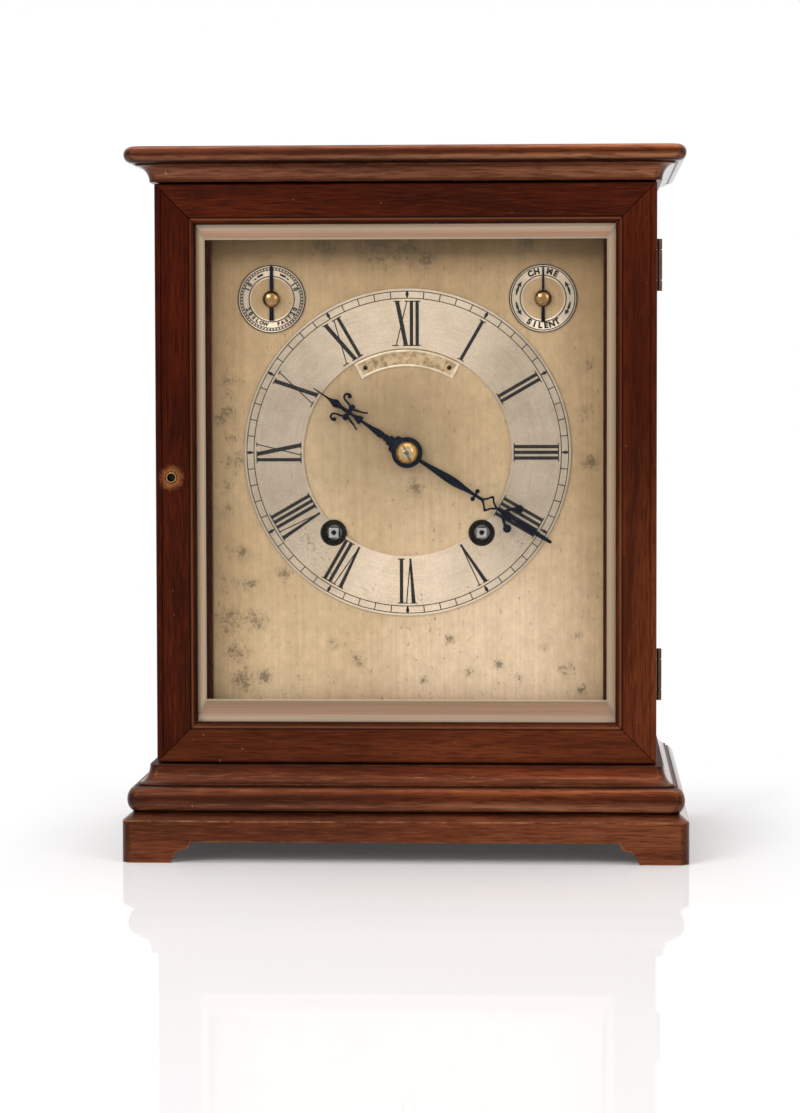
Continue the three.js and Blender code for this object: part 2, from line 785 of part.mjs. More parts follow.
// A turned piece from [radius, height] pairs, its axis towards the front, its foot at the depth y
function turned(profile, y, sides = 16) {
  const rings = profile.map(([radius, height]) => {
    const ring = [];
    for (let i = 0; i < sides; i += 1) {
      const angle = (i / sides) * 2 * Math.PI;
      ring.push(new THREE.Vector3(radius * Math.cos(angle), radius * Math.sin(angle), height));
    }
    return ring;
  });
  return loft(rings).rotateX(quarterTurn).translate(0, y, 0);
}

function dome(radius, height) {
  const steps = 4;
  const profile = [];
  for (let step = 0; step < steps; step += 1) {
    const angle = (step / steps) * quarterTurn;
    profile.push([radius * Math.cos(angle), height * Math.sin(angle)]);
  }
  profile.push([radius * domeTip, height]);
  return profile;
}

// Sub-dials: ring, pointer and domed boss on an arbor through the dial plate
const subRingFront = dialFront - subDialThickness;
const subPointerBack = subRingFront - touch;
const subPointerFront = subPointerBack - subPointerThickness;
const subBossBack = subPointerFront - touch;

function addSubDial(name, side) {
  const x = side * subDialX;
  const ring = withHoles(circle(subDialRadius), [circle(subArborHole)]);
  add(`${name}_ring`, 'chapter', plate(ring, subRingFront, dialFront, subDialSegments), x, subDialZ);
  const blade = polygon([
    [-subTailHalf, -subTailReach], [subTailHalf, -subTailReach], [subTailHalf, 0],
    [subTipHalf, subTipReach], [-subTipHalf, subTipReach], [-subTailHalf, 0],
  ]);
  const pointer = cut(
    join(plate(blade, subPointerFront, subPointerBack), rod(subHub, subPointerFront, subPointerBack)),
    rod(subArborHole, subPointerFront - below, subPointerBack + below),
  );
  add(`${name}_pointer`, 'bluedSteel', pointer, x, subDialZ);
  const boss = join(
    turned(dome(subBossRadius, subBossHeight), subBossBack),
    rod(subArborRadius, subBossBack - subBossHeight / 2, dialBack + motionGap / 3),
  );
  add(`${name}_boss`, 'brass', boss, x, subDialZ);
}

addSubDial('regulation', -1);
addSubDial('strike_selector', 1);

// Hands: blades drawn pointing up, then turned to the time shown
const hourHandBack = dialFront - chapterThickness - hourHandLift;
const hourHandFront = hourHandBack - handThickness;
const minuteHandBack = hourHandFront - minuteHandLift;
const minuteHandFront = minuteHandBack - handThickness;

function bladeShape(shank, fret, length) {
  const outline = [...shank, ...fret.map(([back, half]) => [length - back, half])];
  const right = outline.map(([distance, half]) => [half, distance]);
  const left = right.slice().reverse().map(([half, distance]) => [-half, distance]);
  return polygon([...right, ...left]);
}

function hand(shapes, front, back, hubRadius, boreRadius, angle) {
  const blades = shapes.map((shape) => plate(shape, front, back, handSegments));
  const whole = join(rod(hubRadius, front, back, hubSides), ...blades);
  const bored = cut(whole, rod(boreRadius + handBore, front - below, back + below, pipeSides));
  return bored.rotateY(angle * degree);
}

const minuteEye = minuteLength - minuteEyeBack;
const minuteBlade = withHoles(bladeShape(minuteShank, minuteFret, minuteLength), [polygon([
  [0, minuteEye - minuteEyeReach], [minuteEyeHalf, minuteEye],
  [0, minuteEye + minuteEyeReach], [-minuteEyeHalf, minuteEye],
])]);
const minuteGeometry = hand(
  [minuteBlade], minuteHandFront, minuteHandBack, minuteHubRadius, cannonPipe, minuteAngle,
);
add('minute_hand', 'bluedSteel', minuteGeometry, 0, centreZ);

const hourCross = hourLength - hourCurlBack;
const hourShapes = [
  bladeShape(hourShank, hourFret, hourLength),
  circle(hourCurl, -hourCurlOut, hourCross),
  circle(hourCurl, hourCurlOut, hourCross),
];
const hourGeometry = hand(hourShapes, hourHandFront, hourHandBack, hourHubRadius, hourPipe, hourAngle);
add('hour_hand', 'bluedSteel', hourGeometry, 0, centreZ);

const colletBack = minuteHandFront - touch;
const colletFront = colletBack - colletThickness;

function crossPin(radius) {
  const pin = new THREE.CylinderGeometry(radius, radius, handPinLength, pinSides);
  return pin.rotateZ(quarterTurn).translate(0, colletFront, 0);
}

const colletTop = colletRadius - colletTaper;
const colletProfile = [[colletRadius, 0], [colletRadius, colletRim], [colletTop, colletThickness]];
const colletDome = turned(colletProfile, colletBack, hubSides);
const colletHole = rod(cannonPipe + handBore, colletFront - below, colletBack + below, pipeSides);
add('hand_collet', 'brass', join(cut(colletDome, colletHole), crossPin(handPinRadius)), 0, centreZ);

// Where the arbors stand, in the plane of the plates
function polar(from, reach, angle) {
  const turn = angle * degree;
  return new THREE.Vector2(from.x + reach * Math.cos(turn), from.y + reach * Math.sin(turn));
}

function meetingPoint(a, reachA, b, reachB) {
  const span = a.distanceTo(b);
  const along = (reachA * reachA - reachB * reachB + span * span) / (2 * span);
  const aside = Math.sqrt(reachA * reachA - along * along);
  const ahead = b.clone().sub(a).divideScalar(span);
  return new THREE.Vector2(
    a.x + along * ahead.x - aside * ahead.y,
    a.y + along * ahead.y + aside * ahead.x,
  );
}

function meshReach(module, teethA, teethB) {
  return module * (teethA + teethB) / 2;
}

const centreAt = new THREE.Vector2(0, centreZ);
const goingBarrelAt = new THREE.Vector2(windingX, windingZ);
const strikeBarrelAt = new THREE.Vector2(-windingX, windingZ);
const barrelReach = meshReach(barrelModule, barrelTeeth, coarsePinionTeeth);
const intermediateReach = meshReach(intermediateModule, wheelTeeth, coarsePinionTeeth);
const intermediateAt = meetingPoint(centreAt, intermediateReach, goingBarrelAt, barrelReach);
const thirdAt = polar(centreAt, meshReach(centreModule, wheelTeeth, finePinionTeeth), 90 + thirdLean);
const escapeReach = meshReach(thirdModule, wheelTeeth, finePinionTeeth);
const escapeAt = new THREE.Vector2(0, thirdAt.y + Math.sqrt(escapeReach ** 2 - thirdAt.x ** 2));
const palletAt = new THREE.Vector2(0, escapeAt.y + palletDistance);
const plateTop = palletAt.y + plateAbovePallets;
const minuteReach = meshReach(hourModule, hourTeeth, finePinionTeeth);
const cannonModule = minuteReach / cannonTeeth;
const minuteWheelAt = polar(centreAt, minuteReach, minuteWheelAngle);
const pinWheelAt = polar(strikeBarrelAt, barrelReach, pinWheelAngle);
const flyAt = polar(pinWheelAt, meshReach(flyModule, wheelTeeth, finePinionTeeth), flyAngle);
const hammerAt = new THREE.Vector2(hammerX, seatTop + hammerRise);

// Pointed clock teeth: a tooth of the driver and a gap of the driven wheel meet on the line of centres
function gearShape(teeth, module, toothAngle) {
  const pitch = teeth * module / 2;
  const points = [];
  for (let tooth = 0; tooth < teeth; tooth += 1) {
    for (const [radius, half] of [[pitch + addendum * module, 0], [pitch - dedendum * module, 0.5]]) {
      const angle = toothAngle + (tooth + half) * 2 * Math.PI / teeth;
      points.push([radius * Math.cos(angle), radius * Math.sin(angle)]);
    }
  }
  return polygon(points);
}

function aim(from, to) {
  return Math.atan2(to.y - from.y, to.x - from.x);
}

function driverWheel(teeth, module, from, to, y) {
  return plate(gearShape(teeth, module, aim(from, to)), y, y + wheelThickness);
}

function drivenPinion(teeth, module, from, to, y) {
  const middle = y + wheelThickness / 2;
  const shape = gearShape(teeth, module, aim(from, to) + Math.PI / teeth);
  return plate(shape, middle - pinionLength / 2, middle + pinionLength / 2);
}

// Depths of the wheels between the plates and of the motion work in front of them
const barrelWheelY = frontPlateBack + barrelWheelBehind;
const centreWheelY = frontPlateBack + centreWheelBehind;
const thirdWheelY = frontPlateBack + thirdWheelBehind;
const intermediateWheelY = backPlateFront - intermediateWheelBefore;
const escapeWheelY = backPlateFront - escapeWheelBefore;
const cannonBack = frontPlateFront - motionClearance;
const cannonFront = cannonBack - wheelThickness;
const hourWheelBack = cannonFront - motionLayerGap;
const hourWheelFront = hourWheelBack - wheelThickness;
const ratchetBack = frontPlateFront - motionClearance;
const ratchetFront = ratchetBack - ratchetThickness;

// Plates with their pivot holes; the pillars are riveted into the back plate
const clickAt = (side) => new THREE.Vector2(side * (windingX + clickPivotX), windingZ + clickPivotZ);
const bothPlates = [
  [centreAt, heavyArbor], [goingBarrelAt, barrelArbor], [strikeBarrelAt, barrelArbor],
  [intermediateAt, heavyArbor], [thirdAt, fineArbor], [escapeAt, fineArbor], [palletAt, fineArbor],
  [pinWheelAt, heavyArbor], [flyAt, fineArbor], [hammerAt, heavyArbor],
];
const frontOnly = [[minuteWheelAt, fineArbor], [clickAt(1), fineArbor], [clickAt(-1), fineArbor]];

function movementPlate(pivots, y0, y1) {
  const holes = pivots.map(([at, radius]) => circle(radius + pivotClearance, at.x, at.y));
  const shape = rectangle(-plateWidth / 2, plateWidth / 2, seatTop, plateTop);
  return plate(withHoles(shape, holes), y0, y1, pivotSegments);
}

add('front_plate', 'brass', movementPlate([...bothPlates, ...frontOnly], frontPlateFront, frontPlateBack));
const pillars = [];
for (const side of [-1, 1]) {
  const upperX = plateWidth / 2 - upperPillarInset;
  const upperZ = plateTop - upperPillarDrop;
  pillars.push(rod(pillarRadius, frontPlateBack, backPlateBack).translate(side * upperX, 0, upperZ));
  const lowerZ = seatTop + lowerPillarRise;
  pillars.push(rod(pillarRadius, frontPlateBack, backPlateBack).translate(side * lowerPillarX, 0, lowerZ));
}
add('back_plate', 'brass', join(movementPlate(bothPlates, backPlateFront, backPlateBack), ...pillars));

// Barrels, winding arbors with their ratchets, and clicks
function ratchetShape() {
  const points = [];
  for (let tooth = 0; tooth < ratchetTeeth; tooth += 1) {
    const angle = tooth * 2 * Math.PI / ratchetTeeth;
    points.push([ratchetRadius * Math.cos(angle), ratchetRadius * Math.sin(angle)]);
    points.push([ratchetRoot * Math.cos(angle), ratchetRoot * Math.sin(angle)]);
  }
  return points;
}

function addBarrel(train, at, drivenAt, side) {
  const bore = rod(barrelArbor + pivotClearance, barrelWheelY - below, backPlateFront);
  const drumBack = barrelWheelY + wheelThickness + barrelLength;
  const drum = join(
    driverWheel(barrelTeeth, barrelModule, at, drivenAt, barrelWheelY),
    rod(barrelRadius, barrelWheelY + wheelThickness / 2, drumBack, drumSides),
  );
  add(`${train}_barrel`, 'brass', cut(drum, bore), at.x, at.y);
  const half = windingSquare / 2;
  const arbor = join(
    rod(barrelArbor, ratchetFront - below, backPlateBack),
    plate(polygon(ratchetShape()), ratchetFront, ratchetBack),
    block(-half, half, dialFront, ratchetFront - below / 2, -half, half),
  );
  add(`${train}_winding_arbor`, 'steel', arbor, at.x, at.y);
  const tipReach = ratchetRadius + clickTipGap;
  const tip = [
    side * (tipReach * Math.cos(clickTipAngle * degree) - clickPivotX),
    tipReach * Math.sin(clickTipAngle * degree) - clickPivotZ,
  ];
  const length = Math.hypot(...tip);
  const across = [-tip[1] / length * clickHub, tip[0] / length * clickHub];
  const beak = polygon([across, [-across[0], -across[1]], tip]);
  const click = join(
    rod(clickHub, ratchetFront, ratchetBack),
    plate(beak, ratchetFront, ratchetBack),
    rod(fineArbor, ratchetFront, frontPlateBack, fineSides),
  );
  const pivot = clickAt(side);
  add(`${train}_click`, 'steel', click, pivot.x, pivot.y);
}

addBarrel('going', goingBarrelAt, intermediateAt, 1);
addBarrel('strike', strikeBarrelAt, pinWheelAt, -1);

// Going train from the barrel up to the escape wheel
add('intermediate_wheel', 'brass', join(
  rod(heavyArbor, frontPlateFront, backPlateBack),
  drivenPinion(coarsePinionTeeth, barrelModule, intermediateAt, goingBarrelAt, barrelWheelY),
  driverWheel(wheelTeeth, intermediateModule, intermediateAt, centreAt, intermediateWheelY),
), intermediateAt.x, intermediateAt.y);
add('centre_wheel', 'brass', join(
  rod(heavyArbor, minuteHandFront, backPlateBack),
  drivenPinion(coarsePinionTeeth, intermediateModule, centreAt, intermediateAt, intermediateWheelY),
  driverWheel(wheelTeeth, centreModule, centreAt, thirdAt, centreWheelY),
), centreAt.x, centreAt.y);
add('third_wheel', 'brass', join(
  rod(fineArbor, frontPlateFront, backPlateBack, fineSides),
  drivenPinion(finePinionTeeth, centreModule, thirdAt, centreAt, centreWheelY),
  driverWheel(wheelTeeth, thirdModule, thirdAt, escapeAt, thirdWheelY),
), thirdAt.x, thirdAt.y);
const escapeModule = 2 * escapeRadius / (escapeTeeth + 2 * addendum);
add('escape_wheel', 'brass', join(
  rod(fineArbor, frontPlateFront, backPlateBack, fineSides),
  drivenPinion(finePinionTeeth, thirdModule, escapeAt, thirdAt, thirdWheelY),
  plate(gearShape(escapeTeeth, escapeModule, 0), escapeWheelY, escapeWheelY + wheelThickness),
), escapeAt.x, escapeAt.y);

// Pallets, with the crutch whose fork holds the pendulum rod
const pendulumY = backPlateBack + pendulumBehind;
const bridgeFront = backPlateBack + cockStandoff;
const bridgeBack = bridgeFront + cockBridge;
const crutchFront = backPlateBack + crutchBehind;
const crutchBack = crutchFront + crutchThickness;
const forkInner = rodRadius + forkClearance;
const forkOuter = forkInner + forkProng;
const forkBack = pendulumY + rodRadius;
const forkTop = forkProng - crutchLength;
const otherArm = palletArm.slice().reverse().map(([x, y]) => [-x, y]);
add('pallets', 'steel', join(
  rod(fineArbor, frontPlateFront, bridgeBack, fineSides),
  plate(polygon([...palletArm, ...otherArm]), escapeWheelY, escapeWheelY + wheelThickness),
  block(-crutchWidth / 2, crutchWidth / 2, crutchFront, crutchBack, -crutchLength, crutchWidth / 2),
  block(-forkOuter, forkOuter, crutchFront, crutchBack, -crutchLength, forkTop),
  block(-forkOuter, -forkInner, crutchFront, forkBack, -crutchLength, forkTop),
  block(forkInner, forkOuter, crutchFront, forkBack, -crutchLength, forkTop),
), palletAt.x, palletAt.y);

// Back cock on the back plate, carrying the pallet arbor and the pendulum's suspension
const cockHigh = cockJawGap + cockJawHeight + cockCap;
const cockHole = rod(fineArbor + pivotClearance, bridgeFront - below, bridgeBack + below, fineSides);
const cockBody = join(
  block(-cockHalfWidth, cockHalfWidth, bridgeFront, bridgeBack, -cockDrop, cockHigh),
  block(-cockHalfWidth, cockFoot - cockHalfWidth, backPlateBack, bridgeBack, -cockDrop, cockHigh),
  block(cockHalfWidth - cockFoot, cockHalfWidth, backPlateBack, bridgeBack, -cockDrop, cockHigh),
  block(-cockFoot, cockFoot, bridgeFront, pendulumY + cockJawBehind, cockJawGap, cockJawGap + cockJawHeight),
);
add('back_cock', 'brass', cut(cockBody, cockHole), palletAt.x, palletAt.y);

// Pendulum: spring strip and rod, bob, and the rating nut under it
const bobZ = -pendulumLength;
const nutTop = bobZ - bobRadius - touch;
const rodFoot = nutTop - nutHeight - rodTail;
const springHalf = springThickness / 2;
const strip = block(
  -springWidth / 2, springWidth / 2,
  pendulumY - springHalf, pendulumY + springHalf,
  -springLength, cockJawGap - touch,
);
const pendulumRod = post(rodRadius, rodFoot, below - springLength).translate(0, pendulumY, 0);
add('pendulum_rod', 'steel', join(strip, pendulumRod), palletAt.x, palletAt.y);
const rodHole = post(rodRadius + touch, rodFoot, 0).translate(0, pendulumY, 0);
const bobProfile = [
  [bobFlat, 0], [bobRadius, (bobThickness - bobRim) / 2],
  [bobRadius, (bobThickness + bobRim) / 2], [bobFlat, bobThickness],
];
const bobLens = turned(bobProfile, pendulumY + bobThickness / 2, bobSides).translate(0, 0, bobZ);
add('pendulum_bob', 'brass', cut(bobLens, rodHole), palletAt.x, palletAt.y);
const nut = post(nutRadius, nutTop - nutHeight, nutTop).translate(0, pendulumY, 0);
add('rating_nut', 'brass', cut(nut, rodHole), palletAt.x, palletAt.y);

// Motion work: cannon pinion, minute wheel and hour wheel
const cannonEnd = colletFront - 3 * handPinRadius;
const cannonBlank = join(
  driverWheel(cannonTeeth, cannonModule, centreAt, minuteWheelAt, cannonFront),
  rod(cannonPipe, cannonEnd, cannonBack, pipeSides),
);
const cannon = cut(
  cannonBlank,
  rod(heavyArbor + pivotClearance, cannonEnd - below, cannonBack + below),
  crossPin(handPinRadius + handBore),
);
add('cannon_pinion', 'steel', cannon, centreAt.x, centreAt.y);
const minuteTooth = aim(minuteWheelAt, centreAt);
add('minute_wheel', 'brass', join(
  plate(gearShape(cannonTeeth, cannonModule, minuteTooth + Math.PI / cannonTeeth), cannonFront, cannonBack),
  plate(
    gearShape(finePinionTeeth, hourModule, minuteTooth),
    hourWheelFront - below, cannonFront + wheelThickness / 2,
  ),
  rod(fineArbor, hourWheelFront - below, frontPlateBack, fineSides),
), minuteWheelAt.x, minuteWheelAt.y);
const hourTooth = aim(centreAt, minuteWheelAt) + Math.PI / hourTeeth;
const hourBlank = join(
  plate(gearShape(hourTeeth, hourModule, hourTooth), hourWheelFront, hourWheelBack),
  rod(hourPipe, hourHandFront - pivotClearance, hourWheelBack, pipeSides),
);
const hourBore = rod(hourPipe - pipeWall, hourHandFront - below, hourWheelBack + below, pipeSides);
add('hour_wheel', 'brass', cut(hourBlank, hourBore), centreAt.x, centreAt.y);

// Striking train: pin wheel, fly, hammer and coil gong
const pinBack = intermediateWheelY + wheelThickness + strikePinLength;
const liftingPins = [];
for (let pin = 0; pin < strikePins; pin += 1) {
  const angle = pin * 2 * Math.PI / strikePins;
  const stud = rod(strikePinRadius, intermediateWheelY + wheelThickness / 2, pinBack, studSides);
  liftingPins.push(stud.translate(strikePinCircle * Math.cos(angle), 0, strikePinCircle * Math.sin(angle)));
}
add('strike_pin_wheel', 'brass', join(
  rod(heavyArbor, frontPlateFront, backPlateBack),
  drivenPinion(coarsePinionTeeth, barrelModule, pinWheelAt, strikeBarrelAt, barrelWheelY),
  driverWheel(wheelTeeth, flyModule, pinWheelAt, flyAt, intermediateWheelY),
  ...liftingPins,
), pinWheelAt.x, pinWheelAt.y);
const vaneFront = frontPlateBack + flyVaneBehind;
add('strike_fly', 'brass', join(
  rod(fineArbor, frontPlateFront, backPlateBack, fineSides),
  drivenPinion(finePinionTeeth, flyModule, flyAt, pinWheelAt, intermediateWheelY),
  block(-flyVane, flyVane, vaneFront, vaneFront + flyVaneLength, -flyVaneThickness / 2, flyVaneThickness / 2),
), flyAt.x, flyAt.y);

const armHalf = hammerArm / 2;
const headHalf = hammerHead / 2;
const tailFront = intermediateWheelY + wheelThickness + hammerTailGap;
const gongLeft = gongX - gongOuter - hammerX;
add('strike_hammer', 'steel', join(
  rod(heavyArbor, frontPlateFront, backPlateBack),
  block(-armHalf, armHalf, gongY - armHalf, gongY + armHalf, -hammerDrop, 0),
  block(
    -headHalf, gongLeft,
    gongY - headHalf, gongY + headHalf,
    -hammerDrop - headHalf, headHalf - hammerDrop,
  ),
  block(-armHalf, armHalf, tailFront, tailFront + hammerTailThickness, 0, hammerTail),
), hammerAt.x, hammerAt.y);

class GongSpiral extends THREE.Curve {
  getPoint(t) {
    const angle = quarterTurn + t * gongTurns * 2 * Math.PI;
    const radius = gongInner + t * (gongOuter - gongWire - touch - gongInner);
    return new THREE.Vector3(gongX + radius * Math.cos(angle), gongY, gongZ + radius * Math.sin(angle));
  }
}

const gongPath = new GongSpiral();
const gongSteps = gongTurns * gongStepsPerTurn;
const gongSection = polygon(Array.from({ length: gongSides }, (_, side) => {
  const angle = side * 2 * Math.PI / gongSides;
  return [gongWire * Math.cos(angle), gongWire * Math.sin(angle)];
}));
const gongGeometry = new THREE.ExtrudeGeometry(gongSection, { steps: gongSteps, extrudePath: gongPath });
add('gong', 'steel', gongGeometry);
let gongGap = Infinity;
for (let i = 0; i <= gongSteps; i += 1) {
  for (let j = i + gongStepsPerTurn / 2; j <= gongSteps; j += 1) {
    const apart = gongPath.getPoint(i / gongSteps).distanceTo(gongPath.getPoint(j / gongSteps));
    gongGap = Math.min(gongGap, apart - 2 * gongWire);
  }
}
console.log(`gong turns clear each other by ${gongGap.toFixed(2)} mm`);

const blockLeft = gongX + touch;
const blockFront = gongY - gongBlock / 2;
const blockBack = gongY + gongBlock / 2;
const gongHold = gongZ + gongInner;
const blockTop = gongHold + gongBlockRise;
add('gong_block', 'agedBrass', join(
  block(blockLeft, blockLeft + gongBlock, blockFront, blockBack, blockTop - gongBlock, blockTop),
  block(blockLeft, blockLeft + gongBlock, blockBack - below, blockBack + gongBlock, stepTop, blockTop),
));

export default clock;
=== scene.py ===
# A mahogany bracket clock with a glazed front door, a silvered dial and a spring movement.
# Sizes are in millimetres, in the clock's own frame; the scene is in metres.
import json
import math

import bmesh
import bpy
from mathutils import Matrix, Vector

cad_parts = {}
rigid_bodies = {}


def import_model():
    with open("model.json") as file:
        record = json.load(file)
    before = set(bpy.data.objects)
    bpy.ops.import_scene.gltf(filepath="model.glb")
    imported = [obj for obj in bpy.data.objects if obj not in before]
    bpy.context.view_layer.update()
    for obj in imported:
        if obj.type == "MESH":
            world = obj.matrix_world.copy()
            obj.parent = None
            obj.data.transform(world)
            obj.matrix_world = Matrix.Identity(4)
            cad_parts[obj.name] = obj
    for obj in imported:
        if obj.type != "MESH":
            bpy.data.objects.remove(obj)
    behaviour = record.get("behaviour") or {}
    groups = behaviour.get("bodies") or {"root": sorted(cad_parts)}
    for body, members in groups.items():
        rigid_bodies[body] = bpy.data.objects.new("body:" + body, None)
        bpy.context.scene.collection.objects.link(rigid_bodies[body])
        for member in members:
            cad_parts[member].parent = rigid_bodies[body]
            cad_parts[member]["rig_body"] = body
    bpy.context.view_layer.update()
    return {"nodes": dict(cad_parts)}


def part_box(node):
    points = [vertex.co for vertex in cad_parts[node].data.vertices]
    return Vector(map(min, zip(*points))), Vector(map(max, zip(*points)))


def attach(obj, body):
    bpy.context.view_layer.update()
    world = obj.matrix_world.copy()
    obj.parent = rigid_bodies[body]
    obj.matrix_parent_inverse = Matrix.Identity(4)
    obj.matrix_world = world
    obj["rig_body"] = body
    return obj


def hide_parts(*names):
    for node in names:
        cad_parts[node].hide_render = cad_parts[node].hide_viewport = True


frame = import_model()
MM = 0.001
TOUCH = 0.001 * MM
WELD = 0.002 * MM
SMOOTH = 38.0
CRISP = 30.0
CUT_PAST = 2.0

# Case mouldings
CORNER = 5.5
BULLNOSE_REACH = 4.2
CORNICE_REACH = 3.6
STEP_INSET = 12.0
COVE_INSET = 13.0
FILLET = 1.0
ARRIS = 0.5
SOFT_ARRIS = 0.4
FINE_ARRIS = 0.3
FOOT_WIDTH = 23.6
FOOT_SLANT = (2.4, 4.8)
FOOT_KNEE = (4.3, 6.2)
ARCH_HEIGHT = 10.0
ARCH_REACH = 9.4
PLINTH_WALL = 14.0
PLINTH_ROOF = 6.0
PLINTH_SLOPE = 3.5
PLINTH_SLOPE_INSET = 4.5
REAR_STILE = 20.0

# Front door
FRAME_WIDTH = 19.5
OVOLO = 3.2
QUIRK = 0.8
LIP = 5.0
REBATE = 4.0
MITRE_GAP = 0.15
DOOR_ARRIS = 0.25
EDGE_BEAD = 2.8
EDGE_QUIRK = 0.5
EDGE_ROUND = 1.1
STRIP_GAP = 0.1
STRIP_EDGE = 1.0
STRIP_WIDTH = 5.0
STRIP_LATCH = 4.0
GLASS_BEVEL = 7.4
GLASS_BEVEL_TOP = 10.4
GLASS_BEVEL_BOTTOM = 14.0
GLASS_RISE = 1.4
GLASS_EDGE = 1.8
GLASS_LINE = 0.45
GLASS_LINE_AREA = 240.0
GLASS_BAND = 9.5
GLASS_FLAT = 0.999
LOCK_HOLE = 2.9
LOCK_RUB = 8.0
LATCH_ARRIS = 0.15
BUSH_RADIUS = 2.6
BUSH_BORE = 1.75
BUSH_ROUND = 0.2
BUSH_FLARE = 0.25
BUSH_FLARE_DEPTH = 0.4

# Dial
CHAPTER_OUTER = 79.0
CHAPTER_INNER = 50.0
RING_EDGE = 0.25
NUMERAL_FOOT = 51.2
NUMERAL_HEIGHT = 21.8
LETTER_WIDTHS = {"I": 2.75, "V": 5.9, "X": 6.9}
STROKE = 1.65
HAIR = 0.5
TRACK_INNER = 74.2
TRACK_OUTER = 77.6
TRACK_LINE = 0.38
MINUTE_MARK = 0.44
WAX = 0.14
THIN_WAX = 0.9 * WAX
WAX_SEAT = 0.05
SUB_RADIUS = 16.5
SUB_INNER = 10.4
SUB_BORE = 1.8
SUB_DISH = 0.22
SUB_ROUND = 0.2
SUB_SLOPE = 0.4
SUB_EDGE = (16.15, 0.55)
SUB_DOTS = 60
DOT_HALF_WIDTH = 0.40
DOT_FOOT = 14.25
DOT_HEAD = 14.9
REGULATION_LINES = ((15.2, 0.36), (13.95, 0.36), (SUB_INNER + 0.55, 0.48))
SELECTOR_LINES = ((15.25, 0.48), (SUB_INNER + 0.65, 0.48))
LETTER_BOLD = 0.06
NUMBER_SIZE = 2.9
NUMBER_PITCH = 11.5
REGULATION_SIZE = 2.4
REGULATION_LETTERS = 12.45
REGULATION_STROKES = 12.1
SELECTOR_SIZE = 3.8
SELECTOR_LETTERS = 13.1
PLAQUE_INNER = 41.5
PLAQUE_OUTER = 49.5
PLAQUE_HALF_ANGLE = 31.0
PLAQUE_SPLAY = 1.02
PLAQUE_RIM = 1.0
PLAQUE_RIM_ANGLE = 1.6
PLAQUE_PIN_ANGLE = 4.6
PLAQUE_THICKNESS = 0.8
PLAQUE_SUNK = 0.25
PLAQUE_ROUNDING = 0.12

# Hands and winding holes
MINUTE_ANGLE = 122.0
HOUR_ANGLE = 304.5
HAND = 0.9
HAND_ROUNDING = 0.14
POINTER_HUB = (2.6, 1.7)
POINTER_ROUNDING = 0.08
BOSS_HEIGHT = 3.6
BOSS_FOOT = 0.5
BOSS_STEM = 1.45
STEM_SEAT = 0.2
COLLET_GAP = 0.25
STUB_DEPTH = 3.3
PIN_DEPTH = 3.75
PIN_LEAN = -26.0
HOLE_RADIUS = 6.4
CUP_DEPTH = 5.0
CUP_FLOOR = 0.8
CUP_BORE = 5.4
CUP_FIT = 0.02
CUP_PROUD = 0.1
CUP_ROUND = 0.2
CUP_LIP = 0.3
SQUARE_BORE = 3.7
DRILLED = 1.3
DRILL_DEPTH = 2.5
SQUARE_ARRIS = 0.35

# Movement
METAL_ARRIS = 0.2
SPOKE = 2.2
CROSSING_PAST = 0.2
SINK_RADIUS = 3.4
SINK_DEPTH = 0.7
SINK_SLOPE = 1.2
PILLAR_INSET = 9.0
PILLAR_DROP = 8.0
SCREW = 2.7
COCK_SCREW = 0.75 * SCREW
COCK_SCREW_INSET = 2.2

# Camera, floor and background
EYE = (80.4, -1706.4, 227.6)
YAW = 2.929
TILT = 87.1
ROLL = -0.115
SENSOR = 36
FOCAL = 3411 / 1113
WHITE = (1, 1, 1, 1)
WORLD_LIGHT = 0.45
FLOOR_TONE = (0.94, 0.918, 0.915, 1)
FLOOR_GLOSS = (0.95, 0.95, 0.95, 1)
FLOOR_LIFT = 0.06
FLOOR_MIRROR = 0.2
FADE_BESIDE = (138 * MM, 210 * MM)
FADE_BEHIND = (50 * MM, 250 * MM)
FADE_BEFORE = (-400 * MM, -1000 * MM)


# Places and boxes in millimetres
def at(x, y, z):
    return Vector((x, y, z)) * MM


def corners(node):
    low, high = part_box(node)
    return low / MM, high / MM


def middle(node):
    low, high = corners(node)
    return (low + high) / 2


def off_axis(point, centre):
    """How far a point of the scene lies from a line to the front through a centre."""
    return math.hypot(point.x / MM - centre.x, point.z / MM - centre.z)


case_low, case_high = corners("bracket_plinth")
HALF_WIDTH = case_high.x
CASE_BACK = case_high.y
CASE_DEPTH = case_high.y - case_low.y
dial_centre = middle("hand_collet")
CENTRE_X = dial_centre.x
CENTRE_Z = dial_centre.z
CHAPTER_FRONT = corners("chapter_ring")[0].y
DIAL_FRONT = corners("chapter_ring")[1].y
SUB_FRONT = corners("regulation_ring")[0].y
left_sub = middle("regulation_ring")
right_sub = middle("strike_selector_ring")
lock = middle("lock_bush")
SIGHT_HALF_WIDTH = corners("door_stile_right")[0].x
SIGHT_LOW = corners("door_rail_bottom")[1].z
SIGHT_HIGH = corners("door_rail_top")[0].z
SIGHT_MIDDLE = (SIGHT_LOW + SIGHT_HIGH) / 2
SIGHT_HALF_HEIGHT = (SIGHT_HIGH - SIGHT_LOW) / 2


# Selecting and shaping
def clear_selection():
    bpy.ops.object.select_all(action="DESELECT")


def make_active(*pieces):
    clear_selection()
    for piece in pieces:
        piece.select_set(True)
    bpy.context.view_layer.objects.active = pieces[0]


def start_edit(piece):
    make_active(piece)
    bpy.ops.object.mode_set(mode="EDIT")
    bpy.ops.mesh.select_all(action="SELECT")


def end_edit():
    bpy.ops.object.mode_set(mode="OBJECT")


